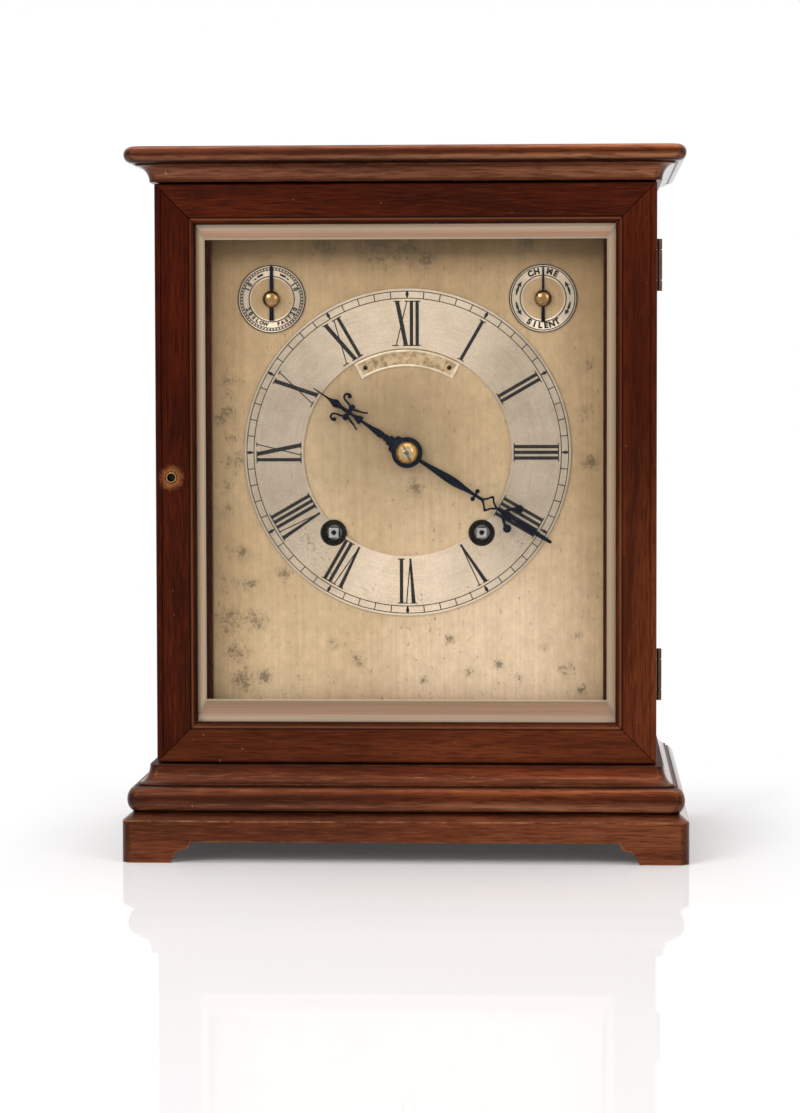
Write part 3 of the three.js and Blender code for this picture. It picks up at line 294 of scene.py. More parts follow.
def pick(piece, kind, wanted):
    bpy.ops.mesh.select_mode(type=kind)
    bpy.ops.mesh.select_all(action="DESELECT")
    shell = bmesh.from_edit_mesh(piece.data)
    parts = {"FACE": shell.faces, "EDGE": shell.edges, "VERT": shell.verts}[kind]
    for part in parts:
        if wanted(part):
            part.select_set(True)
    bmesh.update_edit_mesh(piece.data)


def close_seams(piece):
    start_edit(piece)
    bpy.ops.mesh.remove_doubles(threshold=WELD)
    bpy.ops.mesh.normals_make_consistent(inside=False)
    end_edit()


def settle_place(piece, matrix=None):
    make_active(piece)
    if matrix is not None:
        piece.matrix_world = matrix
    bpy.ops.object.transform_apply(location=True, rotation=True, scale=True)
    return piece


def apply_modifier(piece, kind, **settings):
    make_active(piece)
    modifier = piece.modifiers.new(kind.lower(), kind)
    for name, value in settings.items():
        setattr(modifier, name, value)
    bpy.ops.object.modifier_apply(modifier=modifier.name)


def carve(piece, *cutters):
    for cutter in cutters:
        apply_modifier(piece, "BOOLEAN", operation="DIFFERENCE", object=cutter, solver="EXACT")
        bpy.data.objects.remove(cutter)


def join(pieces):
    make_active(*pieces)
    if len(pieces) > 1:
        bpy.ops.object.join()
    return pieces[0]


def turn_about(axis, degrees):
    return Matrix.Rotation(math.radians(degrees), 4, axis)


def copy_mesh(source, name):
    copy = bpy.data.objects.new(name, source.data.copy())
    bpy.context.scene.collection.objects.link(copy)
    return copy


def twin(piece, matrix):
    return settle_place(copy_mesh(piece, piece.name), matrix)


def grow(rise, scale, centre=(0, 0, 0)):
    """Extrude the selected outline upwards, and scale its new end about a centre."""
    bpy.ops.mesh.extrude_region_move(TRANSFORM_OT_translate={"value": (0, 0, rise * MM)})
    bpy.ops.transform.resize(value=scale, center_override=centre)


# Starting shapes
def block(x0, x1, y0, y1, z0, z1):
    clear_selection()
    bpy.ops.mesh.primitive_cube_add(size=1)
    piece = bpy.context.object
    piece.scale = at(x1 - x0, y1 - y0, z1 - z0)
    piece.location = at((x0 + x1) / 2, (y0 + y1) / 2, (z0 + z1) / 2)
    return settle_place(piece)


def turned(profile, place, way="FRONT", sides=48, ring=False):
    """A solid of [radius, height] pairs, or a ring with a closed run of them as its section.
    Its height runs to the front, to the back or up from its place."""
    clear_selection()
    fill = "NOTHING" if ring else "NGON"
    bpy.ops.mesh.primitive_circle_add(vertices=sides, radius=profile[0][0] * MM, fill_type=fill)
    piece = bpy.context.object
    start_edit(piece)
    line = profile + profile[:1] if ring else profile
    for (r0, h0), (r1, h1) in zip(line, line[1:]):
        grow(h1 - h0, (r1 / r0, r1 / r0, 1))
    end_edit()
    turn = turn_about("X", {"FRONT": 90, "BACK": -90, "UP": 0}[way])
    settle_place(piece, Matrix.Translation(at(*place)) @ turn @ Matrix.Translation(at(0, 0, profile[0][1])))
    close_seams(piece)
    return piece


def rod(radius, length, place, sides):
    """A plain round rod to the front from its place, as a stem or to cut a hole."""
    return turned([(radius, 0), (radius, length)], place, sides=sides)


def moulded_board(profile, bottom):
    """A board with a moulded front and ends and a flat back, from [inset, height] pairs going up."""
    inset = profile[0][0]
    depth = CASE_DEPTH - inset
    clear_selection()
    bpy.ops.mesh.primitive_plane_add(size=2)
    board = bpy.context.object
    board.scale = at(HALF_WIDTH - inset, depth / 2, 1)
    board.location = at(0, CASE_BACK - depth / 2, bottom)
    settle_place(board)
    start_edit(board)
    pick(board, "VERT", lambda vert: vert.co.y < 0)
    bpy.ops.mesh.bevel(offset=CORNER * MM, segments=8, affect="VERTICES")
    pick(board, "FACE", lambda face: True)
    for (inset0, z0), (inset1, z1) in zip(profile, profile[1:]):
        wide = (HALF_WIDTH - inset1) / (HALF_WIDTH - inset0)
        deep = (CASE_DEPTH - inset1) / (CASE_DEPTH - inset0)
        grow(z1 - z0, (wide, deep, 1), (0, CASE_BACK * MM, 0))
    end_edit()
    close_seams(board)
    return board


def cut_sheets(sheets, back, x=CENTRE_X, z=CENTRE_Z, turn=0.0):
    """Flat pieces cut to outlines drawn face-on from the centre, x to the right and y up, turned clockwise.
    Each sheet is (outlines, thickness, rounding) and stands forward from the depth of its back."""
    pieces = []
    for outlines, thickness, rounding in sheets:
        curve = bpy.data.curves.new("sheet", "CURVE")
        curve.dimensions = "2D"
        curve.fill_mode = "BOTH"
        curve.extrude = (thickness / 2 - rounding) * MM
        curve.bevel_depth = rounding * MM
        curve.bevel_resolution = 1
        curve.offset = -rounding * MM
        for outline in outlines:
            spline = curve.splines.new("POLY")
            spline.points.add(len(outline) - 1)
            for point, (px, py) in zip(spline.points, outline):
                point.co = (px * MM, py * MM, 0, 1)
            spline.use_cyclic_u = True
        piece = bpy.data.objects.new("sheet", curve)
        bpy.context.scene.collection.objects.link(piece)
        piece.matrix_world = Matrix.Translation((0, 0, thickness / 2 * MM))
        pieces.append(piece)
    return lay_flat(pieces, back, x, z, turn)


def lay_flat(pieces, back, x, z, turn=0.0):
    """Make curves or letters one mesh, stood upright facing the front and turned clockwise."""
    make_active(*pieces)
    bpy.ops.object.convert(target="MESH")
    bpy.ops.object.transform_apply(location=True, rotation=True, scale=True)
    whole = join(pieces)
    settle_place(whole, Matrix.Translation(at(x, back, z)) @ turn_about("Y", turn) @ turn_about("X", 90))
    close_seams(whole)
    return whole


def cad_copy(node):
    piece = copy_mesh(frame["nodes"][node], node + "_copy")
    make_active(piece)
    bpy.ops.mesh.customdata_custom_splitnormals_clear()
    start_edit(piece)
    bpy.ops.mesh.remove_doubles(threshold=WELD)
    bpy.ops.mesh.dissolve_limited(angle_limit=math.radians(0.5))
    end_edit()
    return piece


# Naming, finishing and riding
def part_finishes(piece, index_of):
    for polygon in piece.data.polygons:
        polygon.material_index = index_of(polygon)


def finish(piece, name, body, finishes, replaced=(), soften=0.0, smooth=SMOOTH):
    piece.name = name
    piece.data.name = name
    kept = [polygon.material_index for polygon in piece.data.polygons]
    piece.data.materials.clear()
    for material in finishes:
        piece.data.materials.append(material)
    for polygon, index in zip(piece.data.polygons, kept):
        polygon.material_index = min(index, len(finishes) - 1)
    if soften:
        edge = len(finishes) - 1 if len(finishes) > 1 else -1
        apply_modifier(
            piece, "BEVEL", width=soften * MM, segments=2, limit_method="ANGLE",
            angle_limit=math.radians(smooth), material=edge,
        )
    make_active(piece)
    bpy.ops.object.shade_smooth_by_angle(angle=math.radians(smooth))
    if soften:
        apply_modifier(piece, "WEIGHTED_NORMAL", keep_sharp=True)
    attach(piece, body)
    if replaced:
        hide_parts(*replaced)


def body_of(node):
    return frame["nodes"][node]["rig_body"]


def dress(node, name, finishes, soften, smooth=SMOOTH):
    finish(cad_copy(node), name, body_of(node), finishes, [node], soften, smooth)


def paint(node, material):
    frame["nodes"][node].material_slots[0].material = material


# Outlines
def ring_points(radius, x=0.0, y=0.0, sides=24):
    turn = 2 * math.pi / sides
    return [(x + radius * math.cos(i * turn), y + radius * math.sin(i * turn)) for i in range(sides)]


def arc_points(radius, start, end, steps):
    """Points on a circle about the centre, by clockwise angles from twelve in degrees."""
    points = []
    for i in range(steps + 1):
        angle = math.radians(start + (end - start) * i / steps)
        points.append((radius * math.sin(angle), radius * math.cos(angle)))
    return points


def polar(points, side=1):
    """Points from (radius, clockwise angle from twelve) pairs, on one side."""
    return [spun([(0, radius)], side * turn)[0] for radius, turn in points]


def spun(points, angle):
    c, s = math.cos(math.radians(angle)), math.sin(math.radians(angle))
    return [(x * c + y * s, y * c - x * s) for x, y in points]


def bar(x0, x1, y0, y1):
    return [(x0, y0), (x1, y0), (x1, y1), (x0, y1)]


def flowing(points, steps=5):
    """A smooth line through the points."""
    line = []
    for i in range(len(points) - 1):
        before = points[max(i - 1, 0)]
        a, b = points[i], points[i + 1]
        after = points[min(i + 2, len(points) - 1)]
        for count in range(steps):
            t = count / steps
            line.append(tuple(
                0.5 * (2 * a[k] + (b[k] - before[k]) * t
                       + (2 * before[k] - 5 * a[k] + 4 * b[k] - after[k]) * t * t
                       + (3 * a[k] - before[k] - 3 * b[k] + after[k]) * t ** 3)
                for k in range(len(a))
            ))
    line.append(points[-1])
    return line


def ribbon(points, side=1):
    """The outline of a line of (x, y, half width) points, on one side."""
    line = flowing([(side * x, y, half) for x, y, half in points])
    left, right = [], []
    for i, (x, y, half) in enumerate(line):
        x0, y0 = line[max(i - 1, 0)][:2]
        x1, y1 = line[min(i + 1, len(line) - 1)][:2]
        length = math.hypot(x1 - x0, y1 - y0)
        nx, ny = (y0 - y1) / length * half, (x1 - x0) / length * half
        left.append((x + nx, y + ny))
        right.append((x - nx, y - ny))
    return left + right[::-1]


def blade(*points):
    """An outline that is the same on both sides, from smooth (distance, half width) points."""
    line = flowing(points)
    return [(half, y) for y, half in line] + [(-half, y) for y, half in reversed(line)]


def mirrored(points):
    return [(-x, y) for x, y in reversed(points)]


# Nodes of the finishes
def fill_sockets(tree, sockets, inputs):
    for name, value in inputs.items():
        if isinstance(value, bpy.types.NodeSocket):
            tree.links.new(value, sockets[name])
        else:
            sockets[name].default_value = value


def add_node(tree, kind, inputs=None, **settings):
    made = tree.nodes.new("ShaderNode" + kind)
    for name, value in settings.items():
        setattr(made, name, value)
    fill_sockets(tree, made.inputs, inputs or {})
    return made


def start_finish(name):
    material = bpy.data.materials.new(name)
    material.use_nodes = True
    return material, material.node_tree


def set_surface(tree, inputs):
    fill_sockets(tree, tree.nodes["Principled BSDF"].inputs, inputs)


def place_on(tree):
    """Object coordinates, in metres."""
    return add_node(tree, "TexCoord").outputs["Object"]


def split(tree, vector):
    return add_node(tree, "SeparateXYZ", {0: vector}).outputs


def facing(tree):
    return split(tree, add_node(tree, "NewGeometry").outputs["Normal"])


def noise(tree, scale, detail=3.0, roughness=0.5, distortion=0.0, vector=None):
    """Noise of one scale, or of a scale for each axis."""
    if not isinstance(scale, tuple):
        scale = (scale,) * 3
    if vector is None:
        vector = place_on(tree)
    where = add_node(tree, "Mapping", {"Vector": vector, "Scale": scale}).outputs[0]
    return add_node(tree, "TexNoise", {
        "Vector": where, "Scale": 1.0, "Detail": detail, "Roughness": roughness, "Distortion": distortion,
    }).outputs[0]


def shade(tree, fac, *stops):
    """Colours at places along a value; a single number is a grey."""
    made = add_node(tree, "ValToRGB", {"Fac": fac})
    elements = made.color_ramp.elements
    while len(elements) < len(stops):
        elements.new(0.5)
    for element, (place, colour) in zip(elements, stops):
        element.position = place
        element.color = (*colour, 1) if isinstance(colour, tuple) else (colour, colour, colour, 1)
    return made.outputs[0]


def mask(tree, fac, low, high, top=1.0):
    inputs = {"Value": fac, "From Min": low, "From Max": high, "To Max": top}
    return add_node(tree, "MapRange", inputs, clamp=True).outputs[0]


def spread(tree, fac, low, high):
    return add_node(tree, "MapRange", {"Value": fac, "To Min": low, "To Max": high}).outputs[0]


def blend(tree, fac, first, second, way="MIX"):
    def colour(value):
        return value if isinstance(value, bpy.types.NodeSocket) else (*value, 1)

    inputs = {"Fac": fac, "Color1": colour(first), "Color2": colour(second)}
    return add_node(tree, "MixRGB", inputs, blend_type=way).outputs[0]


def tinted(tree, colour, tint):
    return blend(tree, 1.0, colour, tint, "MULTIPLY")


def varied(tree, colour, fac, low, high, start=0.3, end=0.7):
    """A colour times a share that goes from low to high with a texture."""
    return tinted(tree, colour, shade(tree, fac, (start, low), (end, high)))


def work_out(tree, operation, first, second=0.0):
    return add_node(tree, "Math", {0: first, 1: second}, operation=operation).outputs[0]


def times(tree, first, second):
    return work_out(tree, "MULTIPLY", first, second)


def add_up(tree, first, second):
    return work_out(tree, "ADD", first, second)


def greatest(tree, first, second):
    return work_out(tree, "MAXIMUM", first, second)


def apart(tree, value, middle_place):
    """The distance of a value in metres from a place in millimetres."""
    return work_out(tree, "ABSOLUTE", work_out(tree, "SUBTRACT", value, middle_place * MM))


def across(tree, vector, operation, inputs):
    """Vector maths on the part of a vector that lies across the front."""
    flat = add_node(tree, "VectorMath", {0: vector, 1: (1, 0, 1)}, operation="MULTIPLY").outputs[0]
    return add_node(tree, "VectorMath", {0: flat, **inputs}, operation=operation).outputs["Value"]


def patch(tree, x, z, radius):
    """1 at a place on the front, fading to 0 at the radius."""
    gap = across(tree, place_on(tree), "DISTANCE", {1: at(x, 0, z)})
    return mask(tree, gap, radius * MM, 0.0)


def bump(tree, height, strength, depth):
    inputs = {"Height": height, "Strength": strength, "Distance": depth * MM}
    return add_node(tree, "Bump", inputs).outputs[0]


# Wood
DOOR_TONES = ((0.016, 0.0020, 0.0007), (0.046, 0.0060, 0.0016), (0.094, 0.0165, 0.0042))
LIGHT_TONES = ((0.036, 0.0068, 0.0024), (0.074, 0.0150, 0.0046), (0.118, 0.0290, 0.0090))
MASK_TONES = ((0.020, 0.0030, 0.0008), (0.064, 0.0095, 0.0020), (0.115, 0.0200, 0.0045))
CASE_TONES = ((0.030, 0.0055, 0.0020), (0.074, 0.0150, 0.0052), (0.130, 0.0330, 0.0120))
MOULDING_TONES = ((0.044, 0.0095, 0.0034), (0.112, 0.0280, 0.0105), (0.200, 0.0640, 0.0250))
# Worn wood, and also the colour of the painted highlight on the door frame's ovolo.
WOOD_WEAR_AND_HIGHLIGHT = (0.330, 0.1350, 0.0560)
WOOD_BARE = (0.270, 0.0900, 0.0330)
# Darkening at the case's seams is grime and painted shade between the boards; on the door frame it is
# painted shade.
WOOD_GRIME_AND_SHADE = (0.30, 0.24, 0.22)
WOOD_SHEEN = (1.0, 0.52, 0.36, 1)
SEAM_GRIME_AND_SHADE = (1.6 * MM, 0.3 * MM)
# Painted shade in the door frame's quirk and along its sight edge.
QUIRK_SHADE = (0.55 * MM, 0.2 * MM)
EDGE_SHADE = (1.5 * MM, 0.3 * MM)
# A painted highlight along the crown of the door frame's ovolo.
CROWN_HIGHLIGHT = (0.7 * MM, 0.1 * MM, 0.30)
TOP_ROUGHNESS = 0.6
GLOSS = 0.12
MOULDING_GLOSS = 0.22
RETURN_GLOSS = 0.30
POLISHED = (0.20, 0.40)
RETURN_POLISHED = (0.07, 0.14)
# Painted light on the mouldings, by the way a face looks up or down: painted highlights near the tops of the
# rounds and hollows, a painted reflection of the pale floor on their lower parts, and painted shade on faces
# that look down.
PLINTH_PAINTED_LIGHT = ((0.05, 0.36), (0.40, 0.62), (0.50, 0.96), (0.90, 0.90))
ROUND_PAINTED_LIGHT = (
    (0.03, 0.25), (0.12, (0.50, 0.60, 0.70)), (0.22, (1.20, 1.60, 2.00)), (0.34, (1.45, 2.00, 2.60)),
    (0.44, (0.75, 0.80, 0.85)), (0.53, (0.36, 0.22, 0.15)), (0.63, (0.42, 0.27, 0.18)),
    (0.73, (1.00, 0.85, 0.65)), (0.83, (1.80, 1.90, 1.80)), (0.91, (2.20, 2.60, 2.80)), (1.0, 1.00),
)
HOLLOW_PAINTED_LIGHT = (
    (0.0, 0.60), (0.15, (1.30, 1.65, 2.10)), (0.35, (1.45, 2.00, 2.60)), (0.45, (0.80, 0.75, 0.70)),
    (0.52, (0.72, 0.48, 0.30)), (0.62, (0.76, 0.52, 0.34)), (0.70, (1.20, 1.10, 1.00)),
    (0.75, (2.20, 2.60, 3.00)), (0.81, (1.35, 1.40, 1.40)), (1.0, 1.00),
)
RETURN_PAINTED_LIGHT = ((0.05, 0.50), (0.40, 0.75), (0.60, 1.05), (0.80, 1.60), (1.0, 1.00))
# Painted shade on the rounded corners of the mouldings, darkest where they face half to the side.
CORNER_SHADE = ((0.10, 1.00), (0.42, 0.50))
STILE_SHADE = ((0.35, 1.00), (0.65, (0.68, 0.46, 0.36)))
seamed_boards = ("bracket_plinth", "base_bullnose", "base_step", "cornice_cove")
case_seams = [corners(node)[1].z for node in seamed_boards]
case_seams.append(corners("cornice_cove")[0].z)


def sight_gap(tree):
    """The distance out from the edge of the front door's sight opening, in metres."""
    places = split(tree, place_on(tree))
    aside = work_out(tree, "SUBTRACT", apart(tree, places[0], 0.0), SIGHT_HALF_WIDTH * MM)
    above = work_out(tree, "SUBTRACT", apart(tree, places[2], SIGHT_MIDDLE), SIGHT_HALF_HEIGHT * MM)
    return greatest(tree, aside, above)


def mahogany(
    name, grain, tones, worn=0.0, seamed=False, rubbed=False, framed=False, painted_light=(), tone=1.0, gloss=GLOSS,
    polished=POLISHED,
):
    """Mahogany with its grain along an axis: worn at its edges, grimed and given painted shade at the case's
    seams, rubbed bare at the lock, given painted shade in the door frame's quirk and at its sight edge, a
    painted highlight on the ovolo's crown and darker tops to the stiles, or given painted highlights, a
    painted reflection of the floor and painted shade by the way a moulding faces."""
    material, tree = start_finish(name)

    def stretched(wide, along):
        return tuple(along if axis == grain else wide for axis in "XYZ")

    def grimed_and_shaded(clean, share):
        return blend(tree, share, clean, tinted(tree, clean, WOOD_GRIME_AND_SHADE))

    dark, mid, light = tones
    figure = noise(tree, stretched(62, 4.5), 6, 0.62, 0.8)
    colour = shade(tree, figure, (0.32, dark), (0.50, mid), (0.72, light))
    pores = noise(tree, stretched(1150, 75), 2, 0.6)
    pore_mask = mask(tree, pores, 0.52, 0.63)
    colour = blend(tree, times(tree, pore_mask, 0.75), colour, dark)
    colour = blend(tree, mask(tree, pores, 0.44, 0.34, 0.40), colour, light)
    broad = noise(tree, 7, 2)
    colour = varied(tree, colour, broad, 0.72, 1.32)
    specks = mask(tree, noise(tree, 310, 2, 0.6), 0.73, 0.77, 0.45)
    colour = blend(tree, specks, colour, WOOD_WEAR_AND_HIGHLIGHT)
    if worn:
        rub = mask(tree, noise(tree, 75, 5, 0.7), 0.62 - 0.22 * worn, 0.80 - 0.12 * worn)
        colour = blend(tree, rub, colour, WOOD_WEAR_AND_HIGHLIGHT)
    # Grime and painted shade along the seams between the case's boards.
    if seamed:
        height = split(tree, place_on(tree))[2]
        for seam in case_seams:
            colour = grimed_and_shaded(colour, mask(tree, apart(tree, height, seam), *SEAM_GRIME_AND_SHADE))
    # Painted shade in the frame's quirk and at the sight edge, where the moulding turns away.
    if framed:
        gap = sight_gap(tree)
        quirk_shade = mask(tree, apart(tree, gap, OVOLO), *QUIRK_SHADE)
        colour = grimed_and_shaded(colour, greatest(tree, quirk_shade, mask(tree, gap, *EDGE_SHADE)))
        # A painted highlight along the crown of the ovolo.
        crown = mask(tree, apart(tree, gap, OVOLO - QUIRK), *CROWN_HIGHLIGHT)
        colour = blend(tree, crown, colour, WOOD_WEAR_AND_HIGHLIGHT)
    if framed and grain == "Z":
        raised = mask(tree, split(tree, place_on(tree))[2], SIGHT_LOW * MM, SIGHT_HIGH * MM)
        colour = tinted(tree, colour, shade(tree, raised, *STILE_SHADE))
    # Painted highlights, a painted reflection of the floor and painted shade, by the way each face looks up
    # or down.
    if painted_light:
        x, y, z = facing(tree)
        colour = tinted(tree, colour, shade(tree, mask(tree, z, -1.0, 1.0), *painted_light))
        # Painted shade on the rounded corners, darkest where they face half to the side.
        corner = work_out(tree, "ABSOLUTE", times(tree, x, y))
        colour = tinted(tree, colour, shade(tree, corner, *CORNER_SHADE))
    if rubbed:
        ragged = work_out(tree, "SUBTRACT", noise(tree, 420, 5, 0.8), 0.62)
        ragged = add_up(tree, patch(tree, lock.x, lock.z, LOCK_RUB), ragged)
        colour = blend(tree, mask(tree, ragged, 0.08, 0.55), colour, WOOD_BARE)
    if tone != 1.0:
        colour = tinted(tree, colour, (tone,) * 3)
    roughness = spread(tree, noise(tree, 38, 4, 0.6), *polished)
    if seamed:
        dull = mask(tree, facing(tree)[2], 0.90, 0.98, TOP_ROUGHNESS)
        roughness = greatest(tree, roughness, dull)
    surface = work_out(tree, "SUBTRACT", times(tree, broad, 0.5), times(tree, pore_mask, 0.35))
    set_surface(tree, {
        "Base Color": colour, "Roughness": roughness, "Specular IOR Level": gloss,
        "Specular Tint": WOOD_SHEEN, "Normal": bump(tree, surface, 0.25, 0.12),
    })
    return material


moulding = {"tones": MOULDING_TONES, "seamed": True, "gloss": MOULDING_GLOSS}
side_return = {**moulding, "gloss": RETURN_GLOSS, "polished": RETURN_POLISHED}
upright_wood = mahogany("mahogany_upright", "Z", LIGHT_TONES, framed=True)
lock_wood = mahogany("mahogany_lock_stile", "Z", DOOR_TONES, rubbed=True, framed=True)
across_wood = mahogany("mahogany_across", "X", DOOR_TONES, framed=True)
lower_wood = mahogany("mahogany_lower_rail", "X", LIGHT_TONES, framed=True)
side_wood = mahogany("mahogany_side", "Z", CASE_TONES)
side_across = mahogany("mahogany_side_across", "X", CASE_TONES)
side_worn = mahogany("mahogany_side_arris", "Z", CASE_TONES, worn=0.6)
plinth_wood = mahogany("mahogany_plinth", "X", painted_light=PLINTH_PAINTED_LIGHT, **moulding)
round_wood = mahogany("mahogany_half_round", "X", painted_light=ROUND_PAINTED_LIGHT, **moulding)
hollow_wood = mahogany("mahogany_hollow", "X", painted_light=HOLLOW_PAINTED_LIGHT, **moulding)
moulded_worn = mahogany("mahogany_moulding_arris", "X", worn=0.8, **moulding)
return_wood = mahogany("mahogany_return", "Y", painted_light=RETURN_PAINTED_LIGHT, **side_return)
dark_wood = mahogany("dark_wood", "Z", MASK_TONES)
dark_across = mahogany("dark_wood_across", "X", DOOR_TONES, tone=0.8)


# Metals and wax
def metal(name, colour, tarnish, roughness, amount=0.5, marks=420, relief=0.12, patches=70):
    """Worked metal with fine marks, and an amount of tarnish in patches."""
    material, tree = start_finish(name)
    fine = noise(tree, marks, 3, 0.6)
    stain = mask(tree, noise(tree, patches, 5, 0.65), 0.42, 0.72, amount)
    set_surface(tree, {
        "Base Color": varied(tree, blend(tree, stain, colour, tarnish), fine, 0.82, 1.15),
        "Metallic": 1.0, "Roughness": add_up(tree, times(tree, stain, 0.25), roughness),
        "Normal": bump(tree, fine, relief, 0.03),
    })
    return material


def wax(name):
    material, tree = start_finish(name)
    worn = noise(tree, 520, 3, 0.6)
    colour = shade(tree, worn, (0.55, (0.010, 0.008, 0.007)), (0.80, (0.055, 0.045, 0.036)))
    set_surface(tree, {"Base Color": colour, "Roughness": 0.5, "Specular IOR Level": 0.3})
    return material


black_wax = wax("black_wax")
blued = metal("blued_steel", (0.010, 0.012, 0.021), (0.005, 0.005, 0.008), 0.26, 0.7)
brass = metal("polished_brass", (0.74, 0.46, 0.15), (0.42, 0.23, 0.07), 0.20)
sheet_brass = metal("sheet_brass", (0.58, 0.39, 0.15), (0.38, 0.235, 0.085), 0.30, 0.45, (1700, 160, 90))
aged_brass = metal("aged_brass", (0.100, 0.054, 0.028), (0.04, 0.024, 0.016), 0.42, 0.8)
steel = metal("bright_steel", (0.46, 0.45, 0.43), (0.22, 0.19, 0.16), 0.28)
worn_steel = metal("worn_steel", (0.19, 0.165, 0.14), (0.07, 0.055, 0.045), 0.24, 0.7)
bronze = metal("bronzed_brass", (0.40, 0.24, 0.095), (0.13, 0.075, 0.035), 0.14, 0.7)
# Blackened brass for the plaque's pins; the same black is painted shade in the keyhole, the winding cups and
# the drilled squares.
blackened_and_painted_shade = metal("blackened_brass_and_painted_shade", (0.030, 0.022, 0.016), (0.010, 0.008, 0.006), 0.45, 0.6)
bright_silvering = metal("bright_silvering", (0.80, 0.68, 0.50), (0.50, 0.36, 0.20), 0.30)
matted_field = metal(
    "matted_field", (0.56, 0.42, 0.25), (0.20, 0.115, 0.055), 0.50, 0.9, 1300, relief=0.62, patches=330,
)

# Glass
# The bevels' colours are a painted reflection and refraction of the dial and its surround, not a tint of the
# glass.
BEVEL_ALPHA = 0.74
BEVEL_PAINTED_REFLECTION = (0.60, 0.43, 0.27)
BAND_PAINTED_REFLECTIONS = (
    (0.0, (0.80, 0.61, 0.43)), (0.24, (0.60, 0.42, 0.28)), (0.45, (0.46, 0.26, 0.16)),
    (0.95, (0.35, 0.21, 0.115)),
)


def clear_glass(name, alpha, tint=(0, 0, 0), band=()):
    """Glass of one colour, or of a band of colours inwards from the head and the foot of the sight opening.
    On the field the colour is the glass's faint tint; on the bevels it is a painted reflection and
    refraction of the dial and its surround, and on the arrises a painted glint.
    """
    material, tree = start_finish(name)
    rough = spread(tree, noise(tree, 26, 3, 0.6), 0.01, 0.06)
    colour = (*tint, 1)
    if band:
        away = apart(tree, split(tree, place_on(tree))[2], SIGHT_MIDDLE)
        inside = mask(tree, away, SIGHT_HALF_HEIGHT * MM, (SIGHT_HALF_HEIGHT - GLASS_BAND) * MM)
        streaks = noise(tree, (9, 9, 1400), 3, 0.6)
        colour = varied(tree, shade(tree, inside, *band), streaks, 0.90, 1.08, 0.35, 0.65)
    set_surface(tree, {"Base Color": colour, "Roughness": rough, "Alpha": alpha})
    material.surface_render_method = "BLENDED"
    return material


glass_field = clear_glass("glass_field", 0.04, (0.05, 0.06, 0.05))
glass_side = clear_glass("glass_side_bevel", BEVEL_ALPHA, BEVEL_PAINTED_REFLECTION)
glass_band = clear_glass("glass_bevel", BEVEL_ALPHA, band=BAND_PAINTED_REFLECTIONS)
# A painted glint along the arrises of the bevels.
glass_glint = clear_glass("glass_arris_glint", 0.50, (0.62, 0.50, 0.36))

# Silvering of the plate, with stains as (x, z, radius)
SILVERING = {"Metallic": 0.35, "Specular IOR Level": 0.2}
PLATE_TONE = (0.66, 0.485, 0.295)
PLATE_DEEP = (0.47, 0.315, 0.165)
PLATE_STAIN = (0.105, 0.080, 0.050)
PLATE_SPECK = (0.13, 0.085, 0.045)
# Painted shade of the case's sides on the plate's left and right, from these distances off the centre line.
PLATE_SIDE_SHADE = (0.78, 0.72, 0.62)
PLATE_SIDE_SHADE_START = 66.0
PLATE_SIDE_SHADE_END = 98.0
# Painted light and shade by height on the plate: lighter towards the bottom, and a painted shadow of the
# door's top rail along the top.
PLATE_HEIGHT_LIGHT_AND_SHADE = (
    (0.0, 1.16), (0.45, 0.98), (0.80, (0.90, 0.87, 0.83)), (0.90, (0.74, 0.69, 0.62)),
    (0.925, (0.60, 0.55, 0.48)), (0.95, (0.35, 0.305, 0.24)),
)
# (x, z, radius, tint): a painted shade just above the dial's centre, and a lighter, bluer patch low on the
# right.
PLATE_SHADED_AND_PALE_PATCHES = ((-12, 205, 48, (0.69, 0.67, 0.64)), (46, 96, 88, (1.17, 1.20, 1.34)))
PLATE_STAINS = (
    (-14, 292, 17), (0, 293, 15), (9, 288, 9), (-40, 293, 10), (58, 294, 8), (-86, 226, 9), (-88, 212, 9),
    (-85, 204, 8), (-84, 190, 8), (-88, 178, 6), (-88, 166, 6), (-82, 146, 8), (-88, 130, 9), (-76, 130, 6),
    (-86, 112, 11), (-74, 113, 9), (-82, 99, 10), (-80, 84, 9), (-70, 86, 6), (-24, 94, 6), (-36, 102, 5),
    (8, 84, 4), (30, 88, 5), (44, 92, 4), (54, 86, 4), (66, 100, 4), (76, 90, 6), (82, 106, 4), (84, 80, 5),
    (20, 104, 4), (88, 190, 7), (86, 214, 6), (-60, 136, 6), (88, 236, 5), (4, 178, 7), (-28, 152, 6),
)


